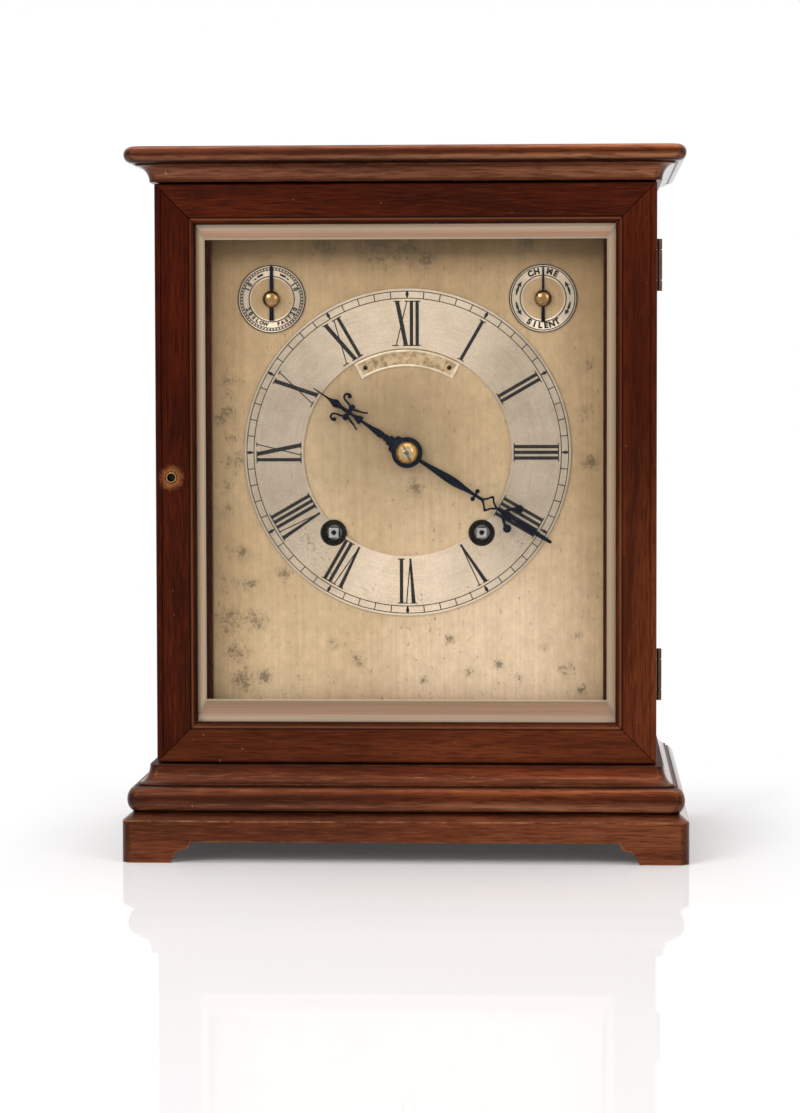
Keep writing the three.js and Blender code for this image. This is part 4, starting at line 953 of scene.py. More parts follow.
def silvered_plate(name):
    material, tree = start_finish(name)
    brushing = noise(tree, (1050, 60, 11), 5, 0.75)
    broad = noise(tree, (16, 16, 9), 5, 0.65)
    colour = shade(tree, broad, (0.32, PLATE_DEEP), (0.60, PLATE_TONE))
    colour = blend(tree, 0.40, colour, PLATE_TONE)
    colour = varied(tree, colour, brushing, 0.90, 1.09)
    mottle = noise(tree, (190, 190, 150), 5, 0.75)
    colour = varied(tree, colour, mottle, (0.86, 0.87, 0.84), (1.10, 1.09, 1.07))
    places = split(tree, place_on(tree))
    low, high = corners("dial_plate")
    # Painted light low on the plate, and a painted shadow of the door's top rail along its top.
    height = mask(tree, places[2], low.z * MM, high.z * MM)
    colour = tinted(tree, colour, shade(tree, height, *PLATE_HEIGHT_LIGHT_AND_SHADE))
    # Painted shade of the case's sides towards the plate's left and right.
    edge = mask(tree, apart(tree, places[0], 0.0), PLATE_SIDE_SHADE_START * MM, PLATE_SIDE_SHADE_END * MM)
    colour = blend(tree, edge, colour, tinted(tree, colour, PLATE_SIDE_SHADE))
    # A painted shade just above the centre, and a lighter, bluer patch low on the right.
    for x, z, radius, tint in PLATE_SHADED_AND_PALE_PATCHES:
        share = mask(tree, patch(tree, x, z, radius), 0.0, 0.7)
        colour = blend(tree, share, colour, tinted(tree, colour, tint))
    worst = patch(tree, *PLATE_STAINS[0])
    for stained in PLATE_STAINS[1:]:
        worst = greatest(tree, worst, patch(tree, *stained))
    shape = work_out(tree, "SUBTRACT", noise(tree, 110, 4, 0.7), 0.5)
    ragged = add_up(tree, worst, times(tree, times(tree, shape, worst), 5.0))
    islands = noise(tree, (760, 760, 560), 5, 0.75, 0.5)
    stain = mask(tree, add_up(tree, times(tree, ragged, 0.20), islands), 0.62, 0.74)
    stain = times(tree, stain, mask(tree, ragged, 0.10, 0.40))
    colour = blend(tree, mask(tree, ragged, 0.1, 1.0, 0.20), colour, PLATE_STAIN)
    colour = blend(tree, times(tree, stain, 0.62), colour, PLATE_STAIN)
    specks = mask(tree, noise(tree, (430, 430, 260), 4, 0.75), 0.62, 0.69, 0.60)
    colour = blend(tree, specks, colour, PLATE_SPECK)
    scratch = mask(tree, noise(tree, (90, 90, 900), 3, 0.6, 2.4), 0.66, 0.70, 0.35)
    colour = blend(tree, scratch, colour, PLATE_DEEP)
    set_surface(tree, {
        **SILVERING, "Base Color": colour, "Roughness": add_up(tree, times(tree, stain, 0.2), 0.40),
        "Normal": bump(tree, brushing, 0.12, 0.03),
    })
    return material


# Silvering of the rings, with rust specks at (x, z, radius) places
CHAPTER_TONE = (0.66, 0.535, 0.395)
CHAPTER_DEEP = (0.48, 0.365, 0.245)
SUB_LEVEL = 1.12
RING_RUST = (0.200, 0.115, 0.055)
CHAPTER_RUST = (
    (-56, 168, 14), (-48, 152, 15), (-36, 138, 14), (-18, 128, 10), (6, 124, 8), (30, 128, 8), (54, 150, 9),
)


def silvered_ring(name, x, z, level=1.0, rust=()):
    """Silvering with a painted sheen about a centre: brighter at the top and the bottom than at the sides,
    with painted light on the lower side.
    """
    material, tree = start_finish(name)
    centred = add_node(tree, "Mapping", {"Vector": place_on(tree), "Location": at(-x, 0, -z)}).outputs[0]
    places = split(tree, centred)
    angle = work_out(tree, "ARCTAN2", places[2], places[0])
    # A painted sheen, brighter at the top and the bottom than at the sides.
    sheen = mask(tree, work_out(tree, "COSINE", times(tree, angle, 2.0)), 1.0, -1.0)
    grain = noise(tree, 900, 3, 0.6)
    around = add_node(tree, "CombineXYZ", {0: across(tree, centred, "LENGTH", {}), 1: angle}).outputs[0]
    lathe_marks = noise(tree, (1900, 2.2, 1), 3, 0.7, vector=around)
    colour = shade(tree, noise(tree, 48, 5, 0.65), (0.34, CHAPTER_DEEP), (0.58, CHAPTER_TONE))
    colour = blend(tree, 0.45, colour, CHAPTER_TONE)
    colour = varied(tree, colour, sheen, 0.78, 1.14, 0.25, 1.0)
    colour = varied(tree, colour, grain, 0.90, 1.08)
    colour = varied(tree, colour, lathe_marks, 0.91, 1.08)
    # Painted light on the lower side of the ring.
    painted_low_light = mask(tree, work_out(tree, "SINE", angle), -0.7, -1.0)
    colour = blend(tree, painted_low_light, colour, tinted(tree, colour, (1.16 * level,) * 3))
    if level != 1.0:
        colour = tinted(tree, colour, (level,) * 3)
    pits = noise(tree, 760, 4, 0.75)
    for rusted in rust:
        pits = add_up(tree, pits, times(tree, patch(tree, *rusted), 0.18))
    colour = blend(tree, mask(tree, pits, 0.69, 0.75, 0.6), colour, RING_RUST)
    set_surface(tree, {
        **SILVERING, "Base Color": colour, "Roughness": 0.42,
        "Normal": bump(tree, add_up(tree, grain, lathe_marks), 0.12, 0.03),
    })
    return material


plate_finish = silvered_plate("silvered_plate")
chapter_finish = silvered_ring("silvered_chapter", CENTRE_X, CENTRE_Z, rust=CHAPTER_RUST)
left_sub_finish = silvered_ring("silvered_regulation", left_sub.x, left_sub.z, SUB_LEVEL)
right_sub_finish = silvered_ring("silvered_selector", right_sub.x, right_sub.z, SUB_LEVEL)


# Case: plinth on bracket feet, half-round, step, sides, cove and cornice
def tall(node):
    low, high = corners(node)
    return high.z - low.z


def inset_of(node):
    return HALF_WIDTH - corners(node)[1].x


def half_round(node, reach, steps=14):
    profile = []
    for i in range(steps + 1):
        angle = (i / steps - 0.5) * math.pi
        inset = inset_of(node) + reach * (1 - math.cos(angle))
        profile.append((inset, tall(node) * (0.5 + 0.5 * math.sin(angle))))
    return profile


def hollow(node, narrow, steps=10):
    """A fillet and a hollow above it, from the inset of the node to a narrower one."""
    wide = inset_of(node)
    rise = tall(node) - FILLET
    profile = [(wide, 0)]
    for i in range(steps + 1):
        angle = i / steps * math.pi / 2
        profile.append((wide + (narrow - wide) * math.sin(angle), FILLET + rise * (1 - math.cos(angle))))
    return profile


def foot_arch(half_length):
    """The opening between two feet: a slant and a knee, and a curve up to the crown."""
    foot = half_length - FOOT_WIDTH
    crown = foot - ARCH_REACH
    slant, knee = [(foot - reach, up) for reach, up in (FOOT_SLANT, FOOT_KNEE)]
    right = [(foot, -CUT_PAST), (foot, 0), slant, knee]
    for i in range(1, 9):
        t = i / 8
        left_over = (1 - t) ** 2
        x = left_over * knee[0] + (1 - left_over) * crown
        right.append((x, (1 - t * t) * knee[1] + t * t * ARCH_HEIGHT))
    return right + mirrored(right)


def case_board(node, name, profile, finishes, soften=0.0, smooth=SMOOTH, cutters=()):
    """A moulded board of the case, with its second finish on the faces that look to the sides."""
    board = moulded_board(profile, corners(node)[0].z)
    carve(board, *cutters)
    part_finishes(board, lambda face: int(abs(face.normal.x) > abs(face.normal.y) + 0.01))
    finish(board, name, "case", finishes, [node], soften, smooth)


plinth_top = case_high.z
plinth_profile = [(0, 0), (0, plinth_top - PLINTH_SLOPE), (PLINTH_SLOPE_INSET, plinth_top)]
cavity = block(
    PLINTH_WALL - HALF_WIDTH, HALF_WIDTH - PLINTH_WALL, PLINTH_WALL - CASE_BACK, CASE_BACK - PLINTH_WALL,
    -CUT_PAST, plinth_top - PLINTH_ROOF,
)


def arch_cutter(half_length, half_depth):
    cutter = [([foot_arch(half_length)], 2 * (half_depth + CUT_PAST), 0)]
    return cut_sheets(cutter, half_depth + CUT_PAST, 0, 0)


front_arch = arch_cutter(HALF_WIDTH, CASE_DEPTH / 2)
side_arch = arch_cutter(CASE_DEPTH / 2, HALF_WIDTH)
settle_place(side_arch, turn_about("Z", 90))
case_board(
    "bracket_plinth", "plinth_on_feet", plinth_profile, [plinth_wood, return_wood, moulded_worn], ARRIS, 28,
    (cavity, front_arch, side_arch),
)
round_finishes = [round_wood, return_wood]
case_board("base_bullnose", "base_half_round", half_round("base_bullnose", BULLNOSE_REACH), round_finishes)
case_board("cornice_top", "cornice_half_round", half_round("cornice_top", CORNICE_REACH), round_finishes)
hollow_finishes = [hollow_wood, return_wood, moulded_worn]
cove_height = tall("cornice_cove")
cove_profile = [(inset, cove_height - up) for inset, up in reversed(hollow("cornice_cove", COVE_INSET))]
for node, name, profile in (
    ("base_step", "base_hollow_step", hollow("base_step", STEP_INSET)),
    ("cornice_cove", "cornice_hollow", cove_profile),
):
    case_board(node, name, profile, hollow_finishes, FINE_ARRIS, smooth=42)

for side in ("left", "right"):
    dress(f"case_side_{side}", f"{side}_side", [side_wood, side_worn], ARRIS)
dress("seat_board", "movement_seat", [dark_across], SOFT_ARRIS)
dress("dial_surround", "dial_mask", [dark_wood], SOFT_ARRIS)
rear_frame = cad_copy("rear_door_frame")
rear_window = corners("rear_door_frame")[1].x - REAR_STILE
for side in (-1, 1):
    start_edit(rear_frame)
    bpy.ops.mesh.bisect(plane_co=at(side * rear_window, 0, 0), plane_no=(1, 0, 0))
    end_edit()
part_finishes(rear_frame, lambda face: int(abs(face.center.x) < (rear_window - 0.05) * MM))
finish(
    rear_frame, "rear_frame", body_of("rear_door_frame"), [side_wood, side_across, side_worn],
    ["rear_door_frame"], ARRIS,
)

# Dust strips on the case front, open at the latch
side_low, side_high = corners("case_side_left")
latch_low, latch_high = corners("door_latch")
strip_front = corners("door_stile_left")[1].y + STRIP_GAP
strip_top = side_high.z - STRIP_GAP
strip_left = side_low.x + STRIP_EDGE
strip_inner = strip_left + STRIP_WIDTH
strips = []
for x0, x1, z0, z1 in (
    (strip_left, strip_inner, side_low.z, latch_low.z - STRIP_LATCH),
    (strip_left, strip_inner, latch_high.z + STRIP_LATCH, strip_top),
    (strip_inner, -side_high.x, strip_top - STRIP_WIDTH, strip_top),
    (strip_inner, -side_high.x, side_low.z, side_low.z + STRIP_WIDTH),
):
    strips.append(block(x0, x1, strip_front, side_low.y + STRIP_GAP, z0, z1))
finish(join(strips), "dust_strips", "case", [dark_wood], (), FINE_ARRIS)

# Front door: mitred frame, bevelled glass, bead and lock
stile_low, stile_high = corners("door_stile_left")
DOOR_LEFT = stile_low.x
DOOR_FRONT = stile_low.y
DOOR_BACK = stile_high.y
DOOR_THICKNESS = DOOR_BACK - DOOR_FRONT
DOOR_BOTTOM = stile_low.z - MITRE_GAP
DOOR_TOP = stile_high.z + MITRE_GAP
DOOR_HEIGHT = DOOR_TOP - DOOR_BOTTOM


def near(value, place):
    return abs(value - place * MM) < TOUCH


def door_bar(length):
    """An upright bar with its outer face at x 0 and front at y 0, an ovolo inside, and mitred ends."""
    piece = block(0, FRAME_WIDTH, 0, DOOR_THICKNESS, 0, length)
    start_edit(piece)
    for end, way in ((0, 1), (length, -1)):
        pick(piece, "VERT", lambda v: near(v.co.z, end))
        bpy.ops.transform.translate(value=(0, 0, way * MITRE_GAP * MM))
        pick(piece, "VERT", lambda v: near(v.co.z, end + way * MITRE_GAP) and v.co.x > MM)
        bpy.ops.transform.translate(value=(0, 0, way * FRAME_WIDTH * MM))
    end_edit()
    past_side = FRAME_WIDTH + CUT_PAST
    past_end = length + CUT_PAST
    rebate = block(FRAME_WIDTH - REBATE, past_side, LIP, DOOR_THICKNESS + CUT_PAST, -CUT_PAST, past_end)
    quirk = block(FRAME_WIDTH - OVOLO, past_side, -CUT_PAST, QUIRK, -CUT_PAST, past_end)
    carve(piece, rebate, quirk)
    start_edit(piece)
    for x, y, offset, segments in ((0, 0, EDGE_ROUND, 4), (FRAME_WIDTH, QUIRK, OVOLO - QUIRK, 8)):
        pick(piece, "EDGE", lambda e: all(near(v.co.x, x) and near(v.co.y, y) for v in e.verts))
        bpy.ops.mesh.bevel(offset=offset * MM, segments=segments, profile=0.5, affect="EDGES")
    end_edit()
    return piece


stile = door_bar(DOOR_HEIGHT)
edge_groove = block(
    EDGE_BEAD, EDGE_BEAD + EDGE_QUIRK, -CUT_PAST, EDGE_QUIRK, -CUT_PAST, DOOR_HEIGHT + CUT_PAST,
)
carve(stile, edge_groove)
rail = door_bar(-2 * DOOR_LEFT)
lock_hole = rod(LOCK_HOLE, DOOR_THICKNESS + 2 * CUT_PAST, (lock.x, DOOR_BACK + CUT_PAST, lock.z), 32)
for name, node, pattern, x, z, turn, wood, cutters in (
    ("lock_stile", "door_stile_left", stile, DOOR_LEFT, DOOR_BOTTOM, 0, lock_wood, [lock_hole]),
    ("hinge_stile", "door_stile_right", stile, -DOOR_LEFT, DOOR_TOP, 180, upright_wood, []),
    ("top_rail", "door_rail_top", rail, DOOR_LEFT, DOOR_TOP, 90, across_wood, []),
    ("bottom_rail", "door_rail_bottom", rail, -DOOR_LEFT, DOOR_BOTTOM, -90, lower_wood, []),
):
    piece = twin(pattern, Matrix.Translation(at(x, DOOR_FRONT, z)) @ turn_about("Y", turn))
    carve(piece, *cutters)
    finish(piece, name, "front_door", [wood], [node], DOOR_ARRIS)
bpy.data.objects.remove(stile)
bpy.data.objects.remove(rail)

pane_low, pane_high = corners("door_glass")
pane_middle = (pane_low.z + pane_high.z) / 2 * MM
pane_edge = pane_high.y - GLASS_EDGE


def on_pane_front(edge):
    depths = [vert.co.y for vert in edge.verts]
    return min(depths) < (pane_edge - GLASS_RISE) * MM + TOUCH and max(depths) < pane_high.y * MM - TOUCH


def pane_part(face):
    """The finish of a face of the pane: 0 the field, 1 a head or foot bevel, 2 an arris, 3 a side bevel."""
    if not -GLASS_FLAT < face.normal.y < -0.5:
        return 0
    if face.area < GLASS_LINE_AREA * MM * MM:
        return 2
    return 3 if abs(face.normal.x) > abs(face.normal.z) else 1


pane = block(pane_low.x, pane_high.x, pane_edge, pane_high.y, pane_low.z, pane_high.z)
start_edit(pane)
pick(pane, "FACE", lambda f: f.normal.y < -0.9)
bpy.ops.mesh.inset(thickness=GLASS_BEVEL * MM)
bpy.ops.transform.translate(value=(0, -GLASS_RISE * MM, 0))
raised = (pane_edge - GLASS_RISE / 2) * MM
for way, bevel in ((1, GLASS_BEVEL_TOP), (-1, GLASS_BEVEL_BOTTOM)):
    pick(pane, "VERT", lambda v: v.co.y < raised and (v.co.z - pane_middle) * way > 0)
    bpy.ops.transform.translate(value=(0, 0, way * (GLASS_BEVEL - bevel) * MM))
pick(pane, "EDGE", on_pane_front)
bpy.ops.mesh.bevel(offset=GLASS_LINE * MM, segments=1, affect="EDGES")
end_edit()
part_finishes(pane, pane_part)
pane_finishes = [glass_field, glass_band, glass_glint, glass_side]
finish(pane, "bevelled_glass", "front_door", pane_finishes, ["door_glass"], smooth=1)
dress("glass_bead", "glazing_bead", [dark_wood], SOFT_ARRIS)

bush_low, bush_high = corners("lock_bush")
bush_length = bush_high.y - bush_low.y
bush = turned([
    (BUSH_RADIUS, 0), (BUSH_RADIUS, bush_length - BUSH_ROUND), (BUSH_RADIUS - BUSH_ROUND, bush_length),
    (BUSH_BORE + BUSH_FLARE, bush_length), (BUSH_BORE, bush_length - BUSH_FLARE_DEPTH), (BUSH_BORE, 0),
], (lock.x, bush_high.y, lock.z), sides=40, ring=True)
finish(bush, "keyhole_bush", "front_door", [bronze], ["lock_bush"])
# The latch takes the black finish as painted shade inside the keyhole.
dress("door_latch", "turn_latch", [blackened_and_painted_shade], LATCH_ARRIS)

# Dial: plate, chapter ring, wax numerals and minute track
paint("dial_plate", plate_finish)
ring_height = DIAL_FRONT - CHAPTER_FRONT
chapter = turned([
    (CHAPTER_OUTER, 0), (CHAPTER_OUTER, ring_height - RING_EDGE), (CHAPTER_OUTER - RING_EDGE, ring_height),
    (CHAPTER_INNER + RING_EDGE, ring_height), (CHAPTER_INNER, ring_height - RING_EDGE), (CHAPTER_INNER, 0),
], (CENTRE_X, DIAL_FRONT, CENTRE_Z), sides=180, ring=True)
for train in ("going", "strike"):
    hole = middle(train + "_winding_arbor")
    hole_back = (hole.x, DIAL_FRONT + CUT_PAST, hole.z)
    carve(chapter, rod(HOLE_RADIUS, ring_height + 2 * CUT_PAST, hole_back, 64))
finish(chapter, "chapter_silvered_ring", "case", [chapter_finish], ["chapter_ring"], smooth=CRISP)


def wax_on(front, name, sheets, lettering=(), x=CENTRE_X, z=CENTRE_Z):
    """Wax marks on the front of a ring, and letters where there are any."""
    pieces = [cut_sheets(sheets, front + WAX_SEAT, x, z)]
    if lettering:
        pieces.append(lay_flat(lettering, front + WAX_SEAT, x, z))
    finish(join(pieces), name, "case", [black_wax], smooth=CRISP)


def slanted(top, bottom, top_width, bottom_width):
    return [
        (bottom, 0), (bottom + bottom_width, 0), (top + top_width, NUMERAL_HEIGHT), (top, NUMERAL_HEIGHT),
    ]


def serif(x0, x1, top):
    return bar(x0, x1, NUMERAL_HEIGHT - HAIR, NUMERAL_HEIGHT) if top else bar(x0, x1, 0, HAIR)


def numeral(letters):
    """Strokes of a numeral standing on y 0, as (outline, raised share), centred on x 0."""
    strokes = []
    x = -sum(LETTER_WIDTHS[letter] for letter in letters) / 2
    for letter in letters:
        if letter == "I":
            mid = x + LETTER_WIDTHS["I"] / 2
            strokes.append((bar(mid - STROKE / 2, mid + STROKE / 2, 0, NUMERAL_HEIGHT), 1.0))
            for top in (False, True):
                strokes.append((serif(mid - 1.75, mid + 1.75, top), 0.85))
        elif letter == "V":
            strokes.append((slanted(x + 0.4, x + 2.5, 1.9, 1.0), 1.0))
            strokes.append((slanted(x + 4.6, x + 2.7, HAIR, HAIR), 0.9))
            strokes.append((serif(x - 0.3, x + 3.0, True), 0.85))
            strokes.append((serif(x + 3.9, x + 5.9, True), 0.8))
        else:
            strokes.append((slanted(x + 0.3, x + 4.7, 2.0, 2.0), 1.0))
            strokes.append((slanted(x + 5.9, x + 0.6, HAIR, HAIR), 0.9))
            for top, left, right, reach in ((True, -0.3, 4.9, 7.1), (False, -1.0, 4.0, 7.0)):
                strokes.append((serif(x + left, x + left + 3.2, top), 0.85))
                strokes.append((serif(x + right, x + reach, top), 0.8))
        x += LETTER_WIDTHS[letter]
    return strokes


sheets = []
for hour, letters in enumerate("XII I II III IIII V VI VII VIII IX X XI".split()):
    for outline, share in numeral(letters):
        raised = [(x, y + NUMERAL_FOOT) for x, y in outline]
        sheets.append(([spun(raised, hour * 30)], WAX * share, 0))
wax_on(CHAPTER_FRONT, "wax_numerals", sheets)


def circles(lines, sides=96):
    """Sheets for circles given as (radius, line width)."""
    sheets = []
    for radius, width in lines:
        sheets.append(([ring_points(radius + way * width / 2, sides=sides) for way in (1, -1)], WAX, 0))
    return sheets


sheets = circles([(radius, TRACK_LINE) for radius in (TRACK_INNER, TRACK_OUTER)], 180)
five_mark = [(0.2, TRACK_INNER), (0.85, (TRACK_INNER + TRACK_OUTER) / 2 + 0.3), (0.35, TRACK_OUTER)]
five_mark += mirrored(five_mark)
for minute in range(60):
    mark = bar(-MINUTE_MARK / 2, MINUTE_MARK / 2, TRACK_INNER, TRACK_OUTER) if minute % 5 else five_mark
    sheets.append(([spun(mark, minute * 6)], THIN_WAX, 0))
wax_on(CHAPTER_FRONT, "wax_minute_track", sheets)

# Bare plaque with a raised rim and two pins
half = PLAQUE_HALF_ANGLE
field_half = half - PLAQUE_RIM_ANGLE
splayed = half * PLAQUE_SPLAY
rim = arc_points(PLAQUE_OUTER, -half, half, 24) + arc_points(PLAQUE_INNER, splayed, -splayed, 24)
field = arc_points(PLAQUE_OUTER - PLAQUE_RIM, -field_half, field_half, 24)
field += arc_points(PLAQUE_INNER + PLAQUE_RIM, field_half, -field_half, 24)
plaque = cut_sheets([([rim, field], PLAQUE_THICKNESS, PLAQUE_ROUNDING)], DIAL_FRONT)
finish(plaque, "plaque_rim", "case", [bright_silvering], ["name_plaque"], smooth=CRISP)
plaque = cut_sheets([([field], PLAQUE_THICKNESS - PLAQUE_SUNK, 0)], DIAL_FRONT)
finish(plaque, "plaque_field", "case", [matted_field], smooth=CRISP)
pins = []
for side in (-1, 1):
    x, up = polar([((PLAQUE_INNER + PLAQUE_OUTER) / 2, half - PLAQUE_PIN_ANGLE)], side)[0]
    foot = (CENTRE_X + x, DIAL_FRONT - PLAQUE_THICKNESS + PLAQUE_SUNK, CENTRE_Z + up)
    pins.append(turned([(1.1, 0), (1.1, 0.25), (0.7, 0.5)], foot, sides=20))
finish(join(pins), "plaque_pins", "case", [blackened_and_painted_shade])


# Sub-dials: turned ring, wax circles and marks, lettering, pointer and domed boss
def sub_dial(name, place, material):
    height = DIAL_FRONT - SUB_FRONT
    dish = height - SUB_DISH
    ring = turned([
        (SUB_RADIUS, 0), (SUB_RADIUS, height - SUB_ROUND), (SUB_RADIUS - SUB_ROUND, height),
        (SUB_INNER, height), (SUB_INNER - SUB_SLOPE, dish), (SUB_BORE, dish), (SUB_BORE, 0),
    ], (place.x, DIAL_FRONT, place.z), sides=96, ring=True)
    in_dish = SUB_INNER - 0.75 * SUB_SLOPE
    part_finishes(ring, lambda face: int(off_axis(face.center, place) < in_dish))
    finishes = [material, plate_finish]
    finish(ring, name + "_silvered_ring", "case", finishes, [name + "_ring"], smooth=25)


def letter(text, size, radius, angle, inward):
    """One letter on a circle, its foot towards the centre, or away from it where it reads from inside."""
    clear_selection()
    bpy.ops.object.text_add()
    piece = bpy.context.object
    piece.data.body = text
    piece.data.size = size * MM
    piece.data.align_x = "CENTER"
    piece.data.align_y = "CENTER"
    piece.data.extrude = WAX / 2 * MM
    piece.data.offset = size * LETTER_BOLD * MM
    piece.data.resolution_u = 3
    x, y = polar([(radius, angle)])[0]
    turn = turn_about("Z", -angle + (180 if inward else 0))
    piece.matrix_world = Matrix.Translation(at(x, y, WAX / 2)) @ turn
    return piece


def word(text, size, radius, angle, pitch, inward=False):
    way = -1 if inward else 1
    first = angle - way * pitch * (len(text) - 1) / 2
    return [letter(one, size, radius, first + way * pitch * i, inward) for i, one in enumerate(text)]


sub_dial("regulation", left_sub, left_sub_finish)
marks = circles([SUB_EDGE, *REGULATION_LINES])
dot = bar(-DOT_HALF_WIDTH, DOT_HALF_WIDTH, DOT_FOOT, DOT_HEAD)
for i in range(SUB_DOTS):
    marks.append(([spun(dot, (i + 0.5) * 360 / SUB_DOTS)], THIN_WAX, 0))
lettering = []
for side in (-1, 1):
    for start, end, thick in ((19, 33, 1.0), (36, 42, 0.6)):
        inner, outer = REGULATION_STROKES, REGULATION_STROKES + thick
        stroke = ((outer, start), (inner, start), (inner, end), (outer, end))
        marks.append(([polar(stroke, side)], THIN_WAX, 0))
    lettering += word("10", NUMBER_SIZE, REGULATION_LETTERS, side * 62, NUMBER_PITCH)
    lettering += word("20", NUMBER_SIZE, REGULATION_LETTERS, side * 119, NUMBER_PITCH, True)
lettering += word("SLOW", REGULATION_SIZE, REGULATION_LETTERS, -151, 10.2, True)
lettering += word("FAST", REGULATION_SIZE, REGULATION_LETTERS, 150, 9.6, True)
wax_on(SUB_FRONT, "regulation_wax_marks", marks, lettering, left_sub.x, left_sub.z)

sub_dial("strike_selector", right_sub, right_sub_finish)
marks = circles([SUB_EDGE, *SELECTOR_LINES])
barb = ((13.1, 38), (11.9, 27), (14.2, 27))
shaft = ((12.8, 28), (12.4, 18), (12.8, 7), (13.3, 7), (13.7, 18), (13.3, 28))
for side in (-1, 1):
    for way in (-1, 1):
        for outline in (barb, shaft):
            arrow = [(radius, 90 + way * turn) for radius, turn in outline]
            marks.append(([polar(arrow, side)], THIN_WAX, 0))
lettering = word("CHIME", SELECTOR_SIZE, SELECTOR_LETTERS, 0, 13.6)
lettering += word("SILENT", SELECTOR_SIZE, SELECTOR_LETTERS, 180, 12.4, True)
wax_on(SUB_FRONT, "selector_wax_marks", marks, lettering, right_sub.x, right_sub.z)


def dome_profile(radius, height, foot, steps=10):
    profile = [(radius * 0.94, 0), (radius, foot)]
    for i in range(1, steps):
        angle = i / steps * math.pi / 2
        profile.append((radius * math.cos(angle), foot + (height - foot) * math.sin(angle)))
    return profile + [(radius * 0.06, height)]


def pointer(name, body, place, tip, tip_half, tail, tail_half):
    low, high = corners(body + "_pointer")
    thickness = high.y - low.y
    outline = [
        (tail_half, -tail), (tail_half * 0.7, 0), (tip_half, tip * 0.4), (tip_half * 0.8, tip * 0.94),
        (tip_half * 0.2, tip),
    ]
    hub = [ring_points(radius, sides=32) for radius in POINTER_HUB]
    sheets = [([outline + mirrored(outline)], thickness, POINTER_ROUNDING), (hub, thickness * 0.9, 0)]
    piece = cut_sheets(sheets, high.y, place.x, place.z)
    finish(piece, name + "_blued_pointer", body, [blued], [body + "_pointer"], smooth=CRISP)
    low, high = corners(body + "_boss")
    foot = low.y + BOSS_HEIGHT
    knob = turned(dome_profile((high.x - low.x) / 2, BOSS_HEIGHT, BOSS_FOOT), (place.x, foot, place.z))
    stem = rod(BOSS_STEM, high.y - foot + STEM_SEAT, (place.x, high.y, place.z), 24)
    finish(join([knob, stem]), name + "_brass_boss", body, [bronze], [body + "_boss"], smooth=CRISP)


pointer("regulation", "regulation", left_sub, 16.2, 0.95, 10.4, 1.15)
pointer("selector", "strike_selector", right_sub, 15.6, 0.55, 11.4, 0.95)


# Hands, drawn pointing up from the hub
def hand(name, node, angle, layers):
    """A blued hand in layers, each a share of the full thickness followed by its outlines."""
    sheets = [(outlines, HAND * share, HAND_ROUNDING) for share, *outlines in layers]
    piece = cut_sheets(sheets, corners(node)[1].y, turn=angle)
    finish(piece, name, body_of(node), [blued], [node], smooth=CRISP)


arm = ((0.6, 55.0, 0.9), (2.6, 56.2, 0.75), (4.4, 58.2, 0.8), (5.5, 59.8, 1.0))
layers = [
    (1.0, ring_points(7.5, sides=64), ring_points(2.75, sides=40)),
    (1.0, blade((6.6, 0.95), (12, 1.15), (25, 2.05), (33, 1.25), (38.2, 0.75), (42.4, 0.8), (43.4, 0.4))),
    (0.9, bar(-1.9, 1.9, 38.0, 39.3)),
    (
        0.96, blade((42.2, 0.5), (44.2, 2.0), (46.4, 4.4), (48.6, 2.0), (51.2, 0.5)),
        blade((43.7, 0.2), (44.9, 1.35), (46.4, 2.95), (47.9, 1.35), (49.7, 0.2)),
    ),
    (0.92, blade((50.2, 0.6), (52.5, 0.75), (54.4, 1.2), (56.5, 2.0), (58.6, 1.5), (60.6, 0.7))),
    (1.0, blade((59.4, 0.7), (62, 0.9), (66.5, 1.6), (72, 1.25), (78, 0.95), (81.2, 0.75), (81.9, 0.35))),
]
for side in (-1, 1):
    layers.append((0.94, ring_points(1.1, side * 2.2, 38.6, 20)))
    layers.append((0.88, ribbon(arm, side)))
    layers.append((0.95, ring_points(2.05, side * 5.5, 60.2, 28)))
hand("minute_blued_hand", "minute_hand", MINUTE_ANGLE, layers)

curl = (
    (1.8, 34.6, 0.7), (3.2, 36.0, 0.55), (3.9, 38.6, 0.5), (4.8, 40.2, 0.5), (6.5, 40.3, 0.55),
    (7.3, 38.6, 0.6), (6.6, 37.6, 0.6),
)
sweep = ((2.2, 33.6, 0.6), (3.1, 30.6, 0.5), (4.0, 28.0, 0.4), (5.0, 26.4, 0.45))
layers = [
    (1.0, ring_points(6.9, sides=64), ring_points(4.2, sides=40)),
    (0.94, blade((6.2, 4.4), (8.0, 4.2), (9.2, 2.4), (10.6, 2.6), (11.6, 1.5), (12.8, 1.9), (13.4, 0.9))),
    (1.0, blade((12.6, 0.9), (15.6, 1.75), (20.0, 1.2), (25.0, 0.7), (28.0, 0.7))),
    (0.96, blade((26.6, 0.5), (27, 2.1), (28.2, 1.9), (31.6, 0.7), (34, 1.1), (35.8, 1.0), (38.2, 0.8))),
    (0.9, bar(-3.2, 3.2, 33.2, 35.0)),
    (1.0, blade((37.4, 0.75), (39.4, 1.1), (41.8, 2.0), (44, 1.2), (46.4, 0.5), (51, 0.34), (54.5, 0.25))),
]
for side in (-1, 1):
    layers.append((0.95, ring_points(1.3, side * 3.1, 34.1, 24)))
    layers.append((0.95, ring_points(1.0, side * 6.6, 38.1, 20)))
    layers.append((0.86, ribbon(curl, side)))
    layers.append((0.86, ribbon(sweep, side)))
hand("hour_blued_hand", "hour_hand", HOUR_ANGLE, layers)

